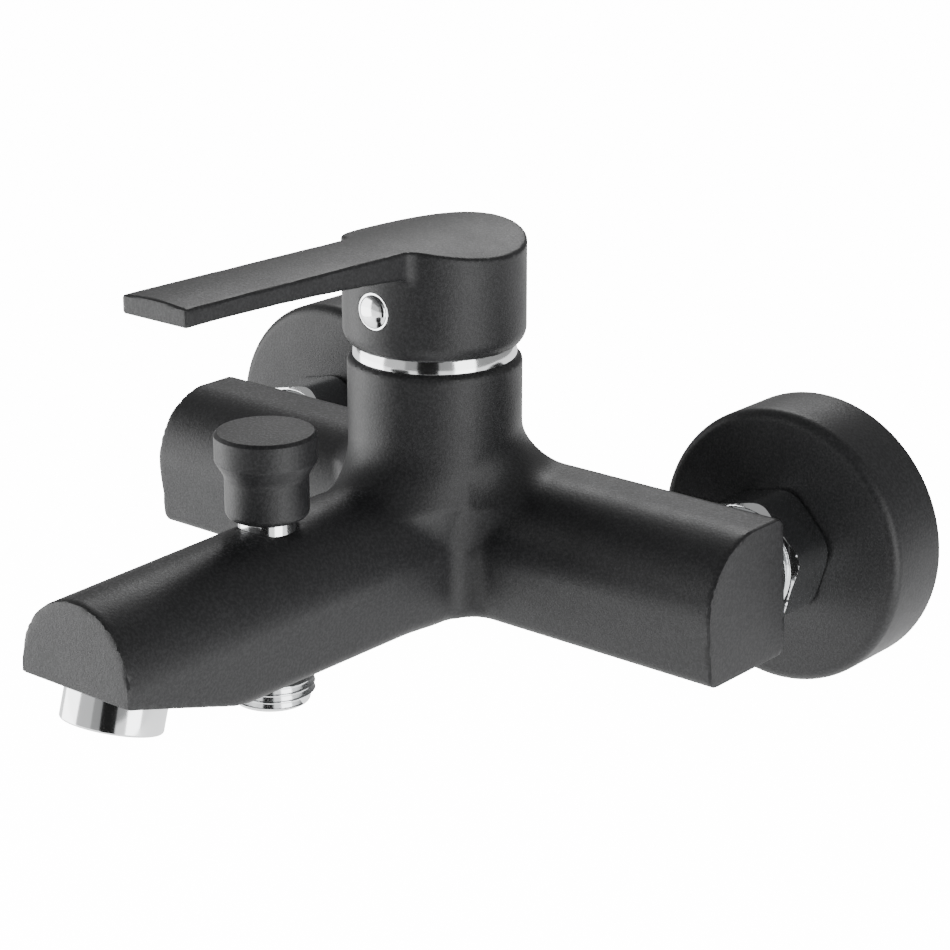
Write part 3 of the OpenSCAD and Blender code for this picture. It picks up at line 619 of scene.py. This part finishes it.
def grown(name, tree, values):
    """Plain mesh that a tree makes with the given input values."""
    carrier = new_object(name + "_carrier", bpy.data.meshes.new(name + "_carrier"))
    modifier = carrier.modifiers.new("grow", "NODES")
    modifier.node_group = tree
    ids = {i.name: i.identifier for i in tree.interface.items_tree if i.in_out == "INPUT"}
    for label, value in values.items():
        modifier[ids[label]] = value
    bpy.context.view_layer.update()
    evaluated = carrier.evaluated_get(bpy.context.evaluated_depsgraph_get())
    mesh = bpy.data.meshes.new_from_object(evaluated)
    mesh.name = name
    bpy.data.objects.remove(carrier)
    return mesh


def coil_tree():
    """A wire or a thread ridge wound up Z."""
    tree, given = new_tree("coil", Radius=0.01, Height=0.01, Turns=5.0, Steps=48,
                           Wire=0.001, Sides=8, Width=1.0, Depth=1.0)
    spiral = add_node(tree, "GeometryNodeCurveSpiral", {
        "Resolution": given["Steps"], "Rotations": given["Turns"],
        "Start Radius": given["Radius"], "End Radius": given["Radius"],
        "Height": given["Height"]})
    path = add_node(tree, "GeometryNodeSetCurveNormal", {"Curve": spiral.outputs[0]},
                    mode="Z_UP")
    section = add_node(tree, "GeometryNodeCurvePrimitiveCircle", {
        "Resolution": given["Sides"], "Radius": given["Wire"]})
    scale = add_node(tree, "ShaderNodeCombineXYZ", {
        "X": given["Width"], "Y": given["Depth"], "Z": 1.0})
    squeeze = add_node(tree, "GeometryNodeTransform", {
        "Geometry": section.outputs[0], "Scale": scale.outputs[0]})
    sweep = add_node(tree, "GeometryNodeCurveToMesh", {
        "Curve": path.outputs[0], "Profile Curve": squeeze.outputs[0], "Fill Caps": True})
    return finish_tree(tree, given, sweep.outputs[0])


def pin_tree():
    """Pins on a square grid inside a circle, which cut a plate's perforations."""
    tree, given = new_tree("perforation pins", Reach=0.008, Spacing=0.0021, Pin=0.0008,
                           Length=0.008, Count=9)
    count = given["Count"]
    span = maths(tree, "MULTIPLY", maths(tree, "SUBTRACT", count, 1.0), given["Spacing"])
    plane = add_node(tree, "GeometryNodeMeshGrid", {
        "Size X": span, "Size Y": span, "Vertices X": count, "Vertices Y": count})
    place = add_node(tree, "GeometryNodeInputPosition").outputs[0]
    reach = add_node(tree, "ShaderNodeVectorMath", {0: place}, operation="LENGTH")
    beyond = add_node(tree, "FunctionNodeCompare", {
        0: reach.outputs["Value"], 1: given["Reach"]},
        data_type="FLOAT", operation="GREATER_THAN")
    trim = add_node(tree, "GeometryNodeDeleteGeometry", {
        "Geometry": plane.outputs["Mesh"], "Selection": beyond.outputs[0]})
    pin = add_node(tree, "GeometryNodeMeshCylinder", {
        "Vertices": 12, "Radius": given["Pin"], "Depth": given["Length"]})
    scatter = add_node(tree, "GeometryNodeInstanceOnPoints", {
        "Points": trim.outputs[0], "Instance": pin.outputs["Mesh"]})
    return finish_tree(tree, given, scatter.outputs[0])


def screen_tree():
    """Two layers of crossed wires trimmed to a circle."""
    tree, given = new_tree("woven screen", Reach=0.0095, Count=23, Wire=0.00012)
    reach, thick = given["Reach"], given["Wire"]
    ends = [add_node(tree, "ShaderNodeCombineXYZ", {"X": maths(tree, "MULTIPLY", reach, share)})
            for share in (-0.97, 0.97)]
    line = add_node(tree, "GeometryNodeMeshLine", {
        "Count": given["Count"], "Start Location": ends[0].outputs[0],
        "Offset": ends[1].outputs[0]}, mode="END_POINTS")
    where = add_node(tree, "GeometryNodeInputPosition").outputs[0]
    split = add_node(tree, "ShaderNodeSeparateXYZ", {0: where})
    share = maths(tree, "DIVIDE", split.outputs["X"], reach)
    chord = maths(tree, "SQRT", maths(tree, "SUBTRACT", 1.0,
                                      maths(tree, "MULTIPLY", share, share)))
    stretch = add_node(tree, "ShaderNodeCombineXYZ", {"X": 1.0, "Y": 1.0, "Z": chord})
    wire = add_node(tree, "GeometryNodeMeshCylinder", {
        "Vertices": 6, "Depth": maths(tree, "MULTIPLY", reach, 2.0), "Radius": thick})
    laid = add_node(tree, "GeometryNodeInstanceOnPoints", {
        "Points": line.outputs[0], "Instance": wire.outputs["Mesh"],
        "Rotation": (pi / 2, 0, 0), "Scale": stretch.outputs[0]})
    lift = add_node(tree, "ShaderNodeCombineXYZ", {"Z": thick})
    turned = add_node(tree, "GeometryNodeTransform", {
        "Geometry": laid.outputs[0], "Rotation": (0, 0, pi / 2),
        "Translation": lift.outputs[0]})
    both = add_node(tree, "GeometryNodeJoinGeometry", {0: laid.outputs[0]})
    tree.links.new(turned.outputs[0], both.inputs[0])
    return finish_tree(tree, given, both.outputs[0])


def wound(name, radius, low, high, turns, wire, material, sides=8, width=1.0, depth=1.0):
    """Coil of wire or thread between two heights, in millimetres."""
    values = {"Radius": radius * MM, "Height": (high - low) * MM, "Turns": float(turns),
              "Steps": 40, "Wire": wire * MM, "Sides": sides, "Width": width,
              "Depth": depth, "Material": material}
    tree = bpy.data.node_groups.get("coil") or coil_tree()
    mesh = grown(name, tree, values)
    mesh.transform(at(0, 0, low * MM))
    return mesh


# ---------------------------------------------------------------- materials

def noise(group, place, scale, detail, rough):
    """Noise texture; scale is a socket or a number per metre."""
    return add_node(group, "ShaderNodeTexNoise", {
        "Vector": place, "Scale": scale, "Detail": detail, "Roughness": rough}).outputs["Fac"]


def remap(group, value, low, high, to_low, to_high):
    """Value remapped from one span to another, clamped; the ends are sockets or numbers."""
    return add_node(group, "ShaderNodeMapRange", {
        "Value": value, "From Min": low, "From Max": high, "To Min": to_low,
        "To Max": to_high}).outputs["Result"]


def grain_group():
    """Fine grains over a finish: colour, roughness and height, with a painted highlight that
    brightens the grains on level tops.
    """
    fleck_ramp, clouds_per_metre = 0.16, 90.0
    group, given = new_group("ShaderNodeTree", "surface grain", {
        "Colour": (0.5, 0.5, 0.5, 1), "Fleck": (0.6, 0.6, 0.6, 1), "Fleck edge": 0.6,
        "Grains per metre": 2000.0, "Smooth": 0.4, "Rough": 0.5, "Top grain highlight": 0.0},
        {"Colour": "Color", "Roughness": "Float", "Height": "Float"})
    coordinates = add_node(group, "ShaderNodeTexCoord").outputs
    fine = noise(group, coordinates["Object"], given["Grains per metre"], 3.0, 0.6)
    cloud = noise(group, coordinates["Object"], clouds_per_metre, 3.0, 0.6)
    edge = given["Fleck edge"]
    mask = remap(group, fine, edge, maths(group, "ADD", edge, fleck_ramp), 0.0, 1.0)
    mix = add_node(group, "ShaderNodeMix", {
        "Factor": mask, "A": given["Colour"], "B": given["Fleck"]}, data_type="RGBA")
    # Painted highlight: on level tops the grains are brightened in the colour itself, standing in
    # for light from above; the colour is then scaled by this painted highlight and the random
    # cloud tone together
    facing = add_node(group, "ShaderNodeSeparateXYZ", {0: coordinates["Normal"]}).outputs["Z"]
    level = remap(group, facing, 0.93, 0.99, 0.0, given["Top grain highlight"])
    painted_top_highlight = maths(group, "MULTIPLY", remap(group, fine, 0.5, 0.66, 0.0, 1.0), level)
    tone_and_painted_highlight = maths(group, "ADD", remap(group, cloud, 0.3, 0.7, 0.93, 1.07), painted_top_highlight)
    toned_and_highlighted = add_node(group, "ShaderNodeVectorMath", {
        0: mix.outputs["Result"], "Scale": tone_and_painted_highlight}, operation="SCALE")
    spread = remap(group, cloud, 0.3, 0.7, given["Smooth"], given["Rough"])
    add_node(group, "NodeGroupOutput", {
        "Colour": toned_and_highlighted.outputs[0], "Roughness": spread, "Height": fine})
    return group


def turning_group():
    """Fine concentric marks that a lathe leaves, as a height."""
    group, given = new_group("ShaderNodeTree", "turning marks",
                             {"Marks per metre": 3000.0}, {"Height": "Float"})
    place = add_node(group, "ShaderNodeTexCoord").outputs["Object"]
    flat = add_node(group, "ShaderNodeVectorMath", {0: place, 1: (0.02, 1, 1)},
                    operation="MULTIPLY")
    marks = noise(group, flat.outputs[0], given["Marks per metre"], 1.0, 0.5)
    add_node(group, "NodeGroupOutput", {"Height": marks})
    return group


def grouped(tree, name, maker, values):
    """Outputs of a shader group in a material, with its values."""
    made = bpy.data.node_groups.get(name) or maker()
    return add_node(tree, "ShaderNodeGroup", values, node_tree=made).outputs


def finish_material(name, colour, fleck, metallic, smooth, rough, grains, bump, edge=0.6,
                    coat=0.0, marks=0.0, specular=0.5, top_fleck=0.0):
    """Principled finish that takes its grain from the shared group."""
    material = bpy.data.materials.new(name)
    material.use_nodes = True
    tree = material.node_tree
    shader = tree.nodes["Principled BSDF"].inputs
    # The last grain value sets the painted highlight brightening the grains on level tops
    grain = grouped(tree, "surface grain", grain_group, {
        "Colour": (*colour, 1), "Fleck": (*fleck, 1), "Fleck edge": edge,
        "Grains per metre": grains, "Smooth": smooth, "Rough": rough,
        "Top grain highlight": top_fleck})
    tree.links.new(grain["Colour"], shader["Base Color"])
    tree.links.new(grain["Roughness"], shader["Roughness"])
    shader["Metallic"].default_value = metallic
    shader["Coat Weight"].default_value = coat
    shader["Specular IOR Level"].default_value = specular
    height = grain["Height"]
    if marks:
        height = grouped(tree, "turning marks", turning_group,
                         {"Marks per metre": marks})["Height"]
    if bump:
        relief = add_node(tree, "ShaderNodeBump", {
            "Distance": bump, "Strength": 1.0, "Height": height})
        tree.links.new(relief.outputs["Normal"], shader["Normal"])
    return material


def finishes():
    """Name, colour, fleck, metallic, smooth, rough, grains and bump of each slot's finish."""
    c = colours()
    return {
        # The powder coat gets a painted highlight on the grains of its level tops
        "black_powder": ("powder_coat", c.powder, c.powder_fleck, 0.0, 0.42, 0.48, 1400.0,
                         0.00007, dict(edge=0.44, specular=0.35, top_fleck=2.0)),
        "polished_chrome": ("polished_chrome", c.chrome, [0.97 * v for v in c.chrome], 1.0,
                            0.03, 0.06, 700.0, 0.0, dict(edge=0.55)),
        "plumbing_brass": ("bare_brass", c.brass, [0.8 * v for v in c.brass], 1.0, 0.22,
                           0.34, 900.0, 0.00002, dict(edge=0.56, marks=2600.0)),
        "steel": ("bright_steel", (0.62, 0.62, 0.63), (0.7, 0.7, 0.7), 1.0, 0.2, 0.3,
                  1500.0, 0.00001, dict(edge=0.56, marks=3200.0)),
        "black_rubber": ("black_rubber", (0.018, 0.018, 0.019), (0.03, 0.03, 0.03), 0.0,
                         0.45, 0.6, 1800.0, 0.00002, {}),
        "white_plastic": ("white_acetal", (0.78, 0.78, 0.75), (0.83, 0.83, 0.8), 0.0, 0.35,
                          0.45, 1200.0, 0.00001, dict(edge=0.58)),
        "blue_plastic": ("blue_acetal", (0.07, 0.18, 0.48), (0.09, 0.22, 0.55), 0.0, 0.35,
                         0.45, 1200.0, 0.00001, dict(edge=0.58)),
        "ceramic": ("lapped_ceramic", (0.86, 0.84, 0.79), (0.8, 0.78, 0.74), 0.0, 0.12, 0.2,
                    1600.0, 0.000005, dict(edge=0.62, coat=0.3)),
    }


def finish_of(slot):
    """Material of a slot's finish, made once."""
    name, *values, others = finishes()[slot]
    return bpy.data.materials.get(name) or finish_material(name, *values, **others)


SLOT_OF_NODE = {row["node"]: row["material_slot"] for row in frame["record"]["subparts"]}


def paint(mesh, material):
    mesh.materials.clear()
    mesh.materials.append(material)
    return mesh


# ---------------------------------------------------------------- pieces

class MIXER_OT_casting(bpy.types.Operator):
    """Body casting: crossbar, neck and spout swept into each other"""

    bl_idname = "mixer.casting"
    bl_label = "Body casting"

    def execute(self, context):
        low = BODY_LOW - (0, 0, sizes().bar_drop)
        mesh = contour("cast_body", body_field, low, BODY_HIGH, sizes().body_cell)
        ride_on("mixer_body", "black_powder", "cast_body", mesh, "body_casting")
        return {"FINISHED"}


class MIXER_OT_lever(bpy.types.Operator):
    """Lever: hub and paddle in one casting, with the indicator cap on its front"""

    bl_idname = "mixer.lever"
    bl_label = "Lever"

    def execute(self, context):
        mesh = contour("cast_lever", lever_field, LEVER_LOW, LEVER_HIGH, sizes().lever_cell)
        ride_on("lever", "black_powder", "cast_lever", mesh, "lever_handle")
        reach, rim = CAP_HIGH[1] - CAP_LOW[1], CAP_HIGH[0]
        stem, seat, flange = 3.4, 5.0, 0.35
        dome_radius, dome_foot = rim - 0.55, seat + flange
        dome = [(dome_radius * cos(a), dome_foot + (reach - dome_foot) * sin(a), 0)
                for a in np.linspace(0, pi / 2, 20)]
        outline = rounded([(0, 0, 0), (stem, 0, 0.3), (stem, seat, 0), (rim, seat, 0),
                           (rim, dome_foot, 0.15)] + dome)
        place = facing_room(0, CAP_HIGH[1], SCREW_Z)
        ride_on("lever", "polished_chrome", "indicator_button",
                lathe("indicator_button", outline, place, 96), "indicator_cap")
        return {"FINISHED"}


class MIXER_OT_ring(bpy.types.Operator):
    """Chrome ring between the neck and the lever's hub"""

    bl_idname = "mixer.ring"
    bl_label = "Chrome ring"

    def execute(self, context):
        outer, inner, skirt = LEVER_HIGH[0] - 2.3, RING_HIGH[0] - 4.4, RING_HIGH[0] - 2.1
        top, bulge = LEVER_LOW[2] - 0.15, 0.5
        face = [(outer - bulge * t * t, NECK_TOP + (top - NECK_TOP) * t, 0)
                for t in np.linspace(0.1, 1, 10)]
        outline = rounded([
            (inner, RING_LOW[2], 0), (skirt, RING_LOW[2], 0), (skirt, NECK_TOP, 0),
            (outer, NECK_TOP, 0.15), *face, (inner, top, 0.3)])
        mesh = lathe("chrome_ring", outline, at(NECK_X, NECK_Y, 0), 192)
        ride_on("mixer_body", "polished_chrome", "chrome_ring", mesh, "dome_ring")
        return {"FINISHED"}


class MIXER_OT_knob(bpy.types.Operator):
    """Turned diverter knob and the chrome bonnet that it stands on"""

    bl_idname = "mixer.knob"
    bl_label = "Diverter knob"

    def execute(self, context):
        low, high, head = KNOB_LOW[2], KNOB_HIGH[2], KNOB_HIGH[0]
        shank, stem, edge = head - 2.2, 2.5, 0.75
        shank_top, head_foot = low + 10.4, low + 14.2
        stem_top = mm_box("diverter_stem")[1][2]
        outline = rounded([
            (stem, low, 0), (shank, low, 1.9), (shank, shank_top, 3.5),
            (head, head_foot, 1.1), (head, high - edge, 0.3), (head - edge, high, 0.3),
            (0, high, 0), (0, stem_top, 0), (stem, stem_top, 0)], 8)
        mesh = lathe("turned_knob", outline, at(0, DIVERTER_Y, 0), 160)
        ride_on("diverter", "black_powder", "turned_knob", mesh, "diverter_knob")
        bottom, top, flange = BONNET_LOW[2], BONNET_HIGH[2], BONNET_HIGH[0]
        bore, thread, relief, relief_low, seat = stem + 0.05, 6.2, 5.0, 14.8, 16
        outline = rounded([
            (bore, bottom, 0), (thread, bottom, 0.3), (thread, relief_low, 0),
            (relief, relief_low, 0), (relief, seat, 0), (flange, seat, 0),
            (flange, top, 0.5), (bore, top, 0.2)])
        mesh = lathe("bonnet_collar", outline, at(0, DIVERTER_Y, 0), 96)
        ride_on("mixer_body", "polished_chrome", "bonnet_collar", mesh, "diverter_bonnet")
        return {"FINISHED"}


class MIXER_OT_rosettes(bpy.types.Operator):
    """Two spun wall rosettes with rounded front edges"""

    bl_idname = "mixer.rosettes"
    bl_label = "Wall rosettes"

    def execute(self, context):
        for side in ("left", "right"):
            radius, depth, place = lying("wall_rosette_" + side)
            wall, bore, edge = 1.5, 13.22, 3.0
            outline = rounded([
                (radius - wall, 0, 0), (radius, 0, 0.4), (radius, depth, edge),
                (bore, depth, 0.4), (bore, depth - wall, 0),
                (radius - wall, depth - wall, edge - wall)], 10)
            name = "spun_rosette_" + side
            mesh = lathe(name, outline, facing_room(*place), 192)
            ride_on("mixer_body", "black_powder", name, mesh, "wall_rosette_" + side)
        return {"FINISHED"}


class MIXER_OT_unions(bpy.types.Operator):
    """Hexagonal union nuts, chrome inlet tails and threaded wall unions"""

    bl_idname = "mixer.unions"
    bl_label = "Inlet unions"

    def execute(self, context):
        for side in ("left", "right"):
            self.nut(side)
            self.tail(side)
            self.wall_union(side)
        return {"FINISHED"}

    def nut(self, side):
        length, place = lying("union_nut_" + side)[1:]
        lip = place[1] - mm_box("inlet_gasket_" + side)[0][1] + 2
        turn, flats, corner, thread, neck = radians(13.5), 29.8, 16.24, 13.22, 10.5
        field = nut_field(turn, flats, corner, thread, neck, lip, length)
        mesh = contour("hex_nut_" + side, field, (-17, -length, -17), (17, 0, 17), 0.4)
        mesh.transform(Matrix.Translation(Vector(place) * MM))
        ride_on("mixer_body", "polished_chrome", mesh.name, mesh, "union_nut_" + side)

    def tail(self, side):
        collar, length, place = lying("inlet_tail_" + side)
        nut_front = place[1] - mm_box("union_nut_" + side)[0][1]
        seat, cone = place[1] - BACK_Y + 2.5, 1.8
        bore, flange, flange_length, neck, thread = 7.5, 12.62, 2, 10.5, 9.8
        outline = rounded([
            (bore, 0, 0.3), (flange, 0, 0.3), (flange, flange_length, 0),
            (neck, flange_length, 0), (neck, nut_front - 1, 0), (neck, nut_front, 0),
            (collar - cone, nut_front, 0.2), (collar, nut_front + cone, 0.4),
            (collar, seat, 0), (thread, seat, 0), (thread, length, 0.4), (bore, length, 0.3)])
        name = "chrome_tail_" + side
        mesh = lathe(name, outline, facing_room(*place), 128)
        ride_on("mixer_body", "polished_chrome", name, mesh, "inlet_tail_" + side)

    def wall_union(self, side):
        low, high = mm_box("wall_union_" + side)
        shoulder = (high[0] - low[0]) / 2
        drop = high[2] - low[2] - 2 * shoulder
        back, front = high[1], low[1]
        step = mm_box("wall_rosette_" + side)[0][1] + 1.5
        pitch = sizes().thread_pitch
        wall_core, union_core, bore = 9.3, 12.05, 7.5

        def field(x, y, z):
            waist = np.maximum(np.abs(z + drop / 2) - drop / 2, 0)
            block = np.maximum(np.hypot(x, waist) - shoulder, np.maximum(y, step - y))
            ahead = towards_room(x, y, z, (0, 0), union_core, step + 1, front)
            behind = towards_room(x, y, z, (0, -drop), wall_core, back, -1)
            solid = np.minimum(np.minimum(round_cut(block, y, 0.6), ahead), behind)
            way = np.minimum(towards_room(x, y, z, (0, 0), bore, -2, front - 2),
                             towards_room(x, y, z, (0, -drop), bore, back + 2, step + 2))
            return np.maximum(solid, -way)

        corner = (-shoulder, front, -drop - shoulder), (shoulder, back, shoulder)
        core = contour("core", field, *corner, 0.8)
        back_thread = wound("thread", wall_core, 0.8, back - 1.6, (back - 2.4) / pitch,
                            1.18, finish_of("plumbing_brass"), 4, 1.0, 0.68)
        back_thread.transform(at(0, 0, -drop * MM) @ Matrix.Rotation(-pi / 2, 4, "X"))
        run = step - front
        front_thread = wound("thread", union_core, 0.9, run - 1.2, (run - 2.1) / pitch,
                             1.17, finish_of("plumbing_brass"), 4, 1.0, 0.68)
        front_thread.transform(facing_room(0, step * MM, 0))
        name = "threaded_union_" + side
        mesh = joined(name, core, back_thread, front_thread)
        mesh.transform(at((low[0] + high[0]) / 2 * MM))
        ride_on("mixer_body", "plumbing_brass", name, mesh, "wall_union_" + side)


class MIXER_OT_outlet(bpy.types.Operator):
    """Threaded chrome shower outlet below the spout"""

    bl_idname = "mixer.outlet"
    bl_label = "Shower outlet"

    def execute(self, context):
        low, high = NIPPLE_LOW[2], NIPPLE_HIGH[2]
        core, root, bore, port = 9.35, 9.2, 7.0, 5.5
        relief = UNDERSIDE - 1.4
        outline = rounded([
            (bore, low, 0.4), (core - 0.2, low, 0.5), (core, low + 0.8, 0),
            (core, relief, 0), (root, relief, 0), (root, high, 0.3), (port, high, 0),
            (port, high - 1, 0), (bore, high - 1, 0)])
        body = lathe("core", outline, Matrix.Identity(4), 128)
        pitch = sizes().thread_pitch
        start, end = low + 1.1, relief - 0.3
        ridge = wound("thread", core, start, end, (end - start) / pitch, 1.13,
                      finish_of("polished_chrome"), 4, 1.0, 0.72)
        mesh = joined("threaded_outlet", body, ridge)
        mesh.transform(at(0, DIVERTER_Y * MM))
        ride_on("mixer_body", "polished_chrome", "threaded_outlet", mesh, "shower_nipple")
        return {"FINISHED"}


class MIXER_OT_aerator(bpy.types.Operator):
    """Aerator: chrome shell, perforated insert and woven screen"""

    bl_idname = "mixer.aerator"
    bl_label = "Aerator"

    def execute(self, context):
        place = at_aerator()
        radius, drop, root_height, lip = 12.0, 8.0, 6.0, 1.2
        bore, root = radius - 2.4, radius - 1.1
        level = lip - drop
        outline = rounded([
            (bore - 1, -drop, 0.4), (radius, -drop, 0.6), (radius, 0, 0.15), (root, 0, 0),
            (root, root_height, 0.3), (bore, root_height, 0), (bore, level, 0),
            (bore - 1, level, 0)])
        shell = lathe("aerator_shell", outline, place, 160)
        ride_on("mixer_body", "polished_chrome", "aerator_shell", shell, "aerator_housing")
        self.insert(place, bore, level, 4)
        self.screen(place, bore, level + 4)
        return {"FINISHED"}

    def put(self, mesh, place):
        """Moves a mesh in metres by a placement in millimetres."""
        mesh.transform(Matrix.Scale(1 / MM, 4))
        mesh.transform(place)
        mesh.transform(Matrix.Scale(MM, 4))
        shade(mesh)

    def insert(self, place, bore, level, height):
        outline = rounded([(0, level, 0), (bore, level, 0.3), (bore, level + height, 0),
                           (0, level + height, 0)])
        plate = new_object("perforated_insert", lathe("perforated_insert", outline))
        pins = new_object("pins", grown("pins", pin_tree(), {
            "Reach": 0.0078, "Spacing": 0.0021, "Pin": 0.0007, "Length": 0.02, "Count": 9}))
        cut = plate.modifiers.new("cut", "BOOLEAN")
        cut.operation = "DIFFERENCE"
        cut.solver = "EXACT"
        cut.object = pins
        bpy.context.view_layer.update()
        evaluated = plate.evaluated_get(bpy.context.evaluated_depsgraph_get())
        mesh = bpy.data.meshes.new_from_object(evaluated)
        bpy.data.objects.remove(plate)
        bpy.data.objects.remove(pins)
        self.put(mesh, place)
        ride_on("mixer_body", "white_plastic", "perforated_insert", mesh, "aerator_insert")

    def screen(self, place, bore, level):
        mesh = grown("woven_screen", screen_tree(), {
            "Reach": (bore - 0.1) * MM, "Count": 25, "Wire": 0.00013,
            "Material": finish_of("steel")})
        self.put(mesh, place @ at(0, 0, level + 0.25))
        ride_on("mixer_body", "steel", "woven_screen", mesh, "aerator_mesh")


class MIXER_OT_springs(bpy.types.Operator):
    """Coil springs of the diverter and the check valve"""

    bl_idname = "mixer.springs"
    bl_label = "Springs"

    def execute(self, context):
        for node, joint, turns, fixed in (("diverter_spring", "diverter_pull", 9, 1),
                                          ("check_spring", "check_opening", 6, 0)):
            low, high = mm_box(node)
            radius = (high[0] - low[0]) / 2
            wire = radius / 10
            coil = wound(node.replace("spring", "coil"), radius - wire, low[2] + wire,
                         high[2] - wire, turns, wire, finish_of("steel"))
            coil.transform(at(0, DIVERTER_Y * MM))
            piece = ride_on("mixer_body", "steel", coil.name, coil, node)
            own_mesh(piece)
        return {"FINISHED"}


class MIXER_OT_inner(bpy.types.Operator):
    """Finishes on the CAD nodes that are kept as they are"""

    bl_idname = "mixer.inner"
    bl_label = "Inner pieces"

    def execute(self, context):
        for name, node in frame["nodes"].items():
            if not node.hide_render:
                paint(node.data, finish_of(SLOT_OF_NODE[name]))
        return {"FINISHED"}


class MIXER_OT_stage(bpy.types.Operator):
    """Floor, soft lights, dark card and camera"""

    bl_idname = "mixer.stage"
    bl_label = "Stage"

    def execute(self, context):
        self.world()
        self.floor()
        self.lights()
        self.camera()
        return {"FINISHED"}

    def world(self):
        world = bpy.data.worlds.new("studio")
        bpy.context.scene.world = world
        world.use_nodes = True
        background = world.node_tree.nodes["Background"]
        background.inputs["Color"].default_value = (1, 1, 1, 1)
        self.glow(world.node_tree, background.inputs["Strength"], 0.35, 16.0)

    def glow(self, tree, strength, lit, seen):
        """Emits one strength on the object and another towards the camera."""
        ray = add_node(tree, "ShaderNodeLightPath").outputs["Is Camera Ray"]
        value = add_node(tree, "ShaderNodeMapRange", {"Value": ray, "To Min": lit, "To Max": seen})
        tree.links.new(value.outputs["Result"], strength)

    def floor(self):
        mesh = bpy.data.meshes.new("floor")
        half, depth = 4.0, -0.45
        mesh.from_pydata([(-half, -half, depth), (half, -half, depth), (half, half, depth),
                          (-half, half, depth)], [], [(0, 1, 2, 3)])
        material = bpy.data.materials.new("pale_floor")
        material.use_nodes = True
        shader = material.node_tree.nodes["Principled BSDF"].inputs
        pale = (*colours().floor, 1)
        shader["Base Color"].default_value = pale
        shader["Emission Color"].default_value = pale
        shader["Roughness"].default_value = 0.8
        self.glow(material.node_tree, shader["Emission Strength"], 1.2, 16.0)
        new_object("floor", paint(mesh, material))

    def lights(self):
        self.strip("back_panel", 215, 38, 1.5, (0.6, 0.35), 9)
        self.strip("right_strip", 80, 2, 1.1, (0.6, 0.95), 4.5)
        self.strip("left_strip", -56, 2, 1.2, (1.1, 0.95), 4.6)
        self.strip("front_strip", -16, -4, 1.2, (0.7, 0.8), 0.4)
        self.card("dark_card", 30, 1.0, 0.5, -0.44, 0.8)

    def around(self, azimuth, elevation, distance):
        """Place around the object; azimuth 0 is in front, 90 is on the right."""
        a, e = radians(azimuth), radians(elevation)
        return Vector((sin(a) * cos(e), -cos(a) * cos(e), sin(e))) * distance

    def aim(self, thing, place, target):
        thing.location = place
        thing.rotation_mode = "QUATERNION"
        thing.rotation_quaternion = (Vector(target) - Vector(place)).to_track_quat("-Z", "Y")

    def strip(self, name, azimuth, elevation, distance, size, radiance):
        """Rectangular soft light; its power follows from its radiance."""
        light = bpy.data.lights.new(name, "AREA")
        light.shape = "RECTANGLE"
        light.size, light.size_y = size
        light.energy = radiance * pi * size[0] * size[1]
        lamp = bpy.data.objects.new(name, light)
        bpy.context.scene.collection.objects.link(lamp)
        self.aim(lamp, self.around(azimuth, elevation, distance), (0, -0.08, 0.02))

    def card(self, name, azimuth, distance, width, low, high):
        """Dark upright card facing the object, seen only in reflections."""
        middle = self.around(azimuth, 0, distance)
        aside = Vector((-middle.y, middle.x, 0)).normalized() * width / 2
        bottom, top = Vector((0, 0, low)), Vector((0, 0, high))
        mesh = bpy.data.meshes.new(name)
        mesh.from_pydata([middle - aside + bottom, middle + aside + bottom,
                          middle + aside + top, middle - aside + top], [], [(0, 1, 2, 3)])
        card = new_object(name, mesh)
        paint(mesh, finish_material("dark_felt", (0.01, 0.01, 0.01), (0.012, 0.012, 0.012),
                                    0.0, 0.9, 0.95, 400.0, 0.0, specular=0.0))
        card.visible_camera = False

    def camera(self):
        data = bpy.data.cameras.new("camera")
        data.lens = 105.14
        data.sensor_width = 36
        data.clip_start, data.clip_end = 0.05, 20
        camera = bpy.data.objects.new("camera", data)
        bpy.context.scene.collection.objects.link(camera)
        target = Vector((0.0116, -0.060, 0.01544))
        self.aim(camera, target + self.around(40.06, 18.78, 0.6915), target)
        bpy.context.scene.camera = camera


class MIXER_PT_panel(bpy.types.Panel):
    """Lists the mixer's pieces, sizes and colours"""

    bl_idname = "MIXER_PT_panel"
    bl_label = "Bath Mixer"
    bl_space_type = "VIEW_3D"
    bl_region_type = "UI"
    bl_category = "Bath Mixer"

    def draw(self, context):
        for operator in OPERATORS:
            self.layout.operator(operator.bl_idname)
        for group in (context.scene.mixer_sizes, context.scene.mixer_colours):
            box = self.layout.box()
            for label in group.__annotations__:
                box.prop(group, label)


OPERATORS = (
    MIXER_OT_casting, MIXER_OT_lever, MIXER_OT_ring, MIXER_OT_knob, MIXER_OT_rosettes,
    MIXER_OT_unions, MIXER_OT_outlet, MIXER_OT_aerator, MIXER_OT_springs, MIXER_OT_inner,
    MIXER_OT_stage,
)
GROUPS = (MixerSizes, MixerColours)


def register():
    for cls in (*GROUPS, *OPERATORS, MIXER_PT_panel):
        bpy.utils.register_class(cls)
    bpy.types.Scene.mixer_sizes = bpy.props.PointerProperty(type=MixerSizes)
    bpy.types.Scene.mixer_colours = bpy.props.PointerProperty(type=MixerColours)


def unregister():
    del bpy.types.Scene.mixer_colours
    del bpy.types.Scene.mixer_sizes
    for cls in reversed((*GROUPS, *OPERATORS, MIXER_PT_panel)):
        bpy.utils.unregister_class(cls)


def main():
    register()
    for operator in OPERATORS:
        family, name = operator.bl_idname.split(".")
        getattr(getattr(bpy.ops, family), name)()


if __name__ == "__main__":
    main()
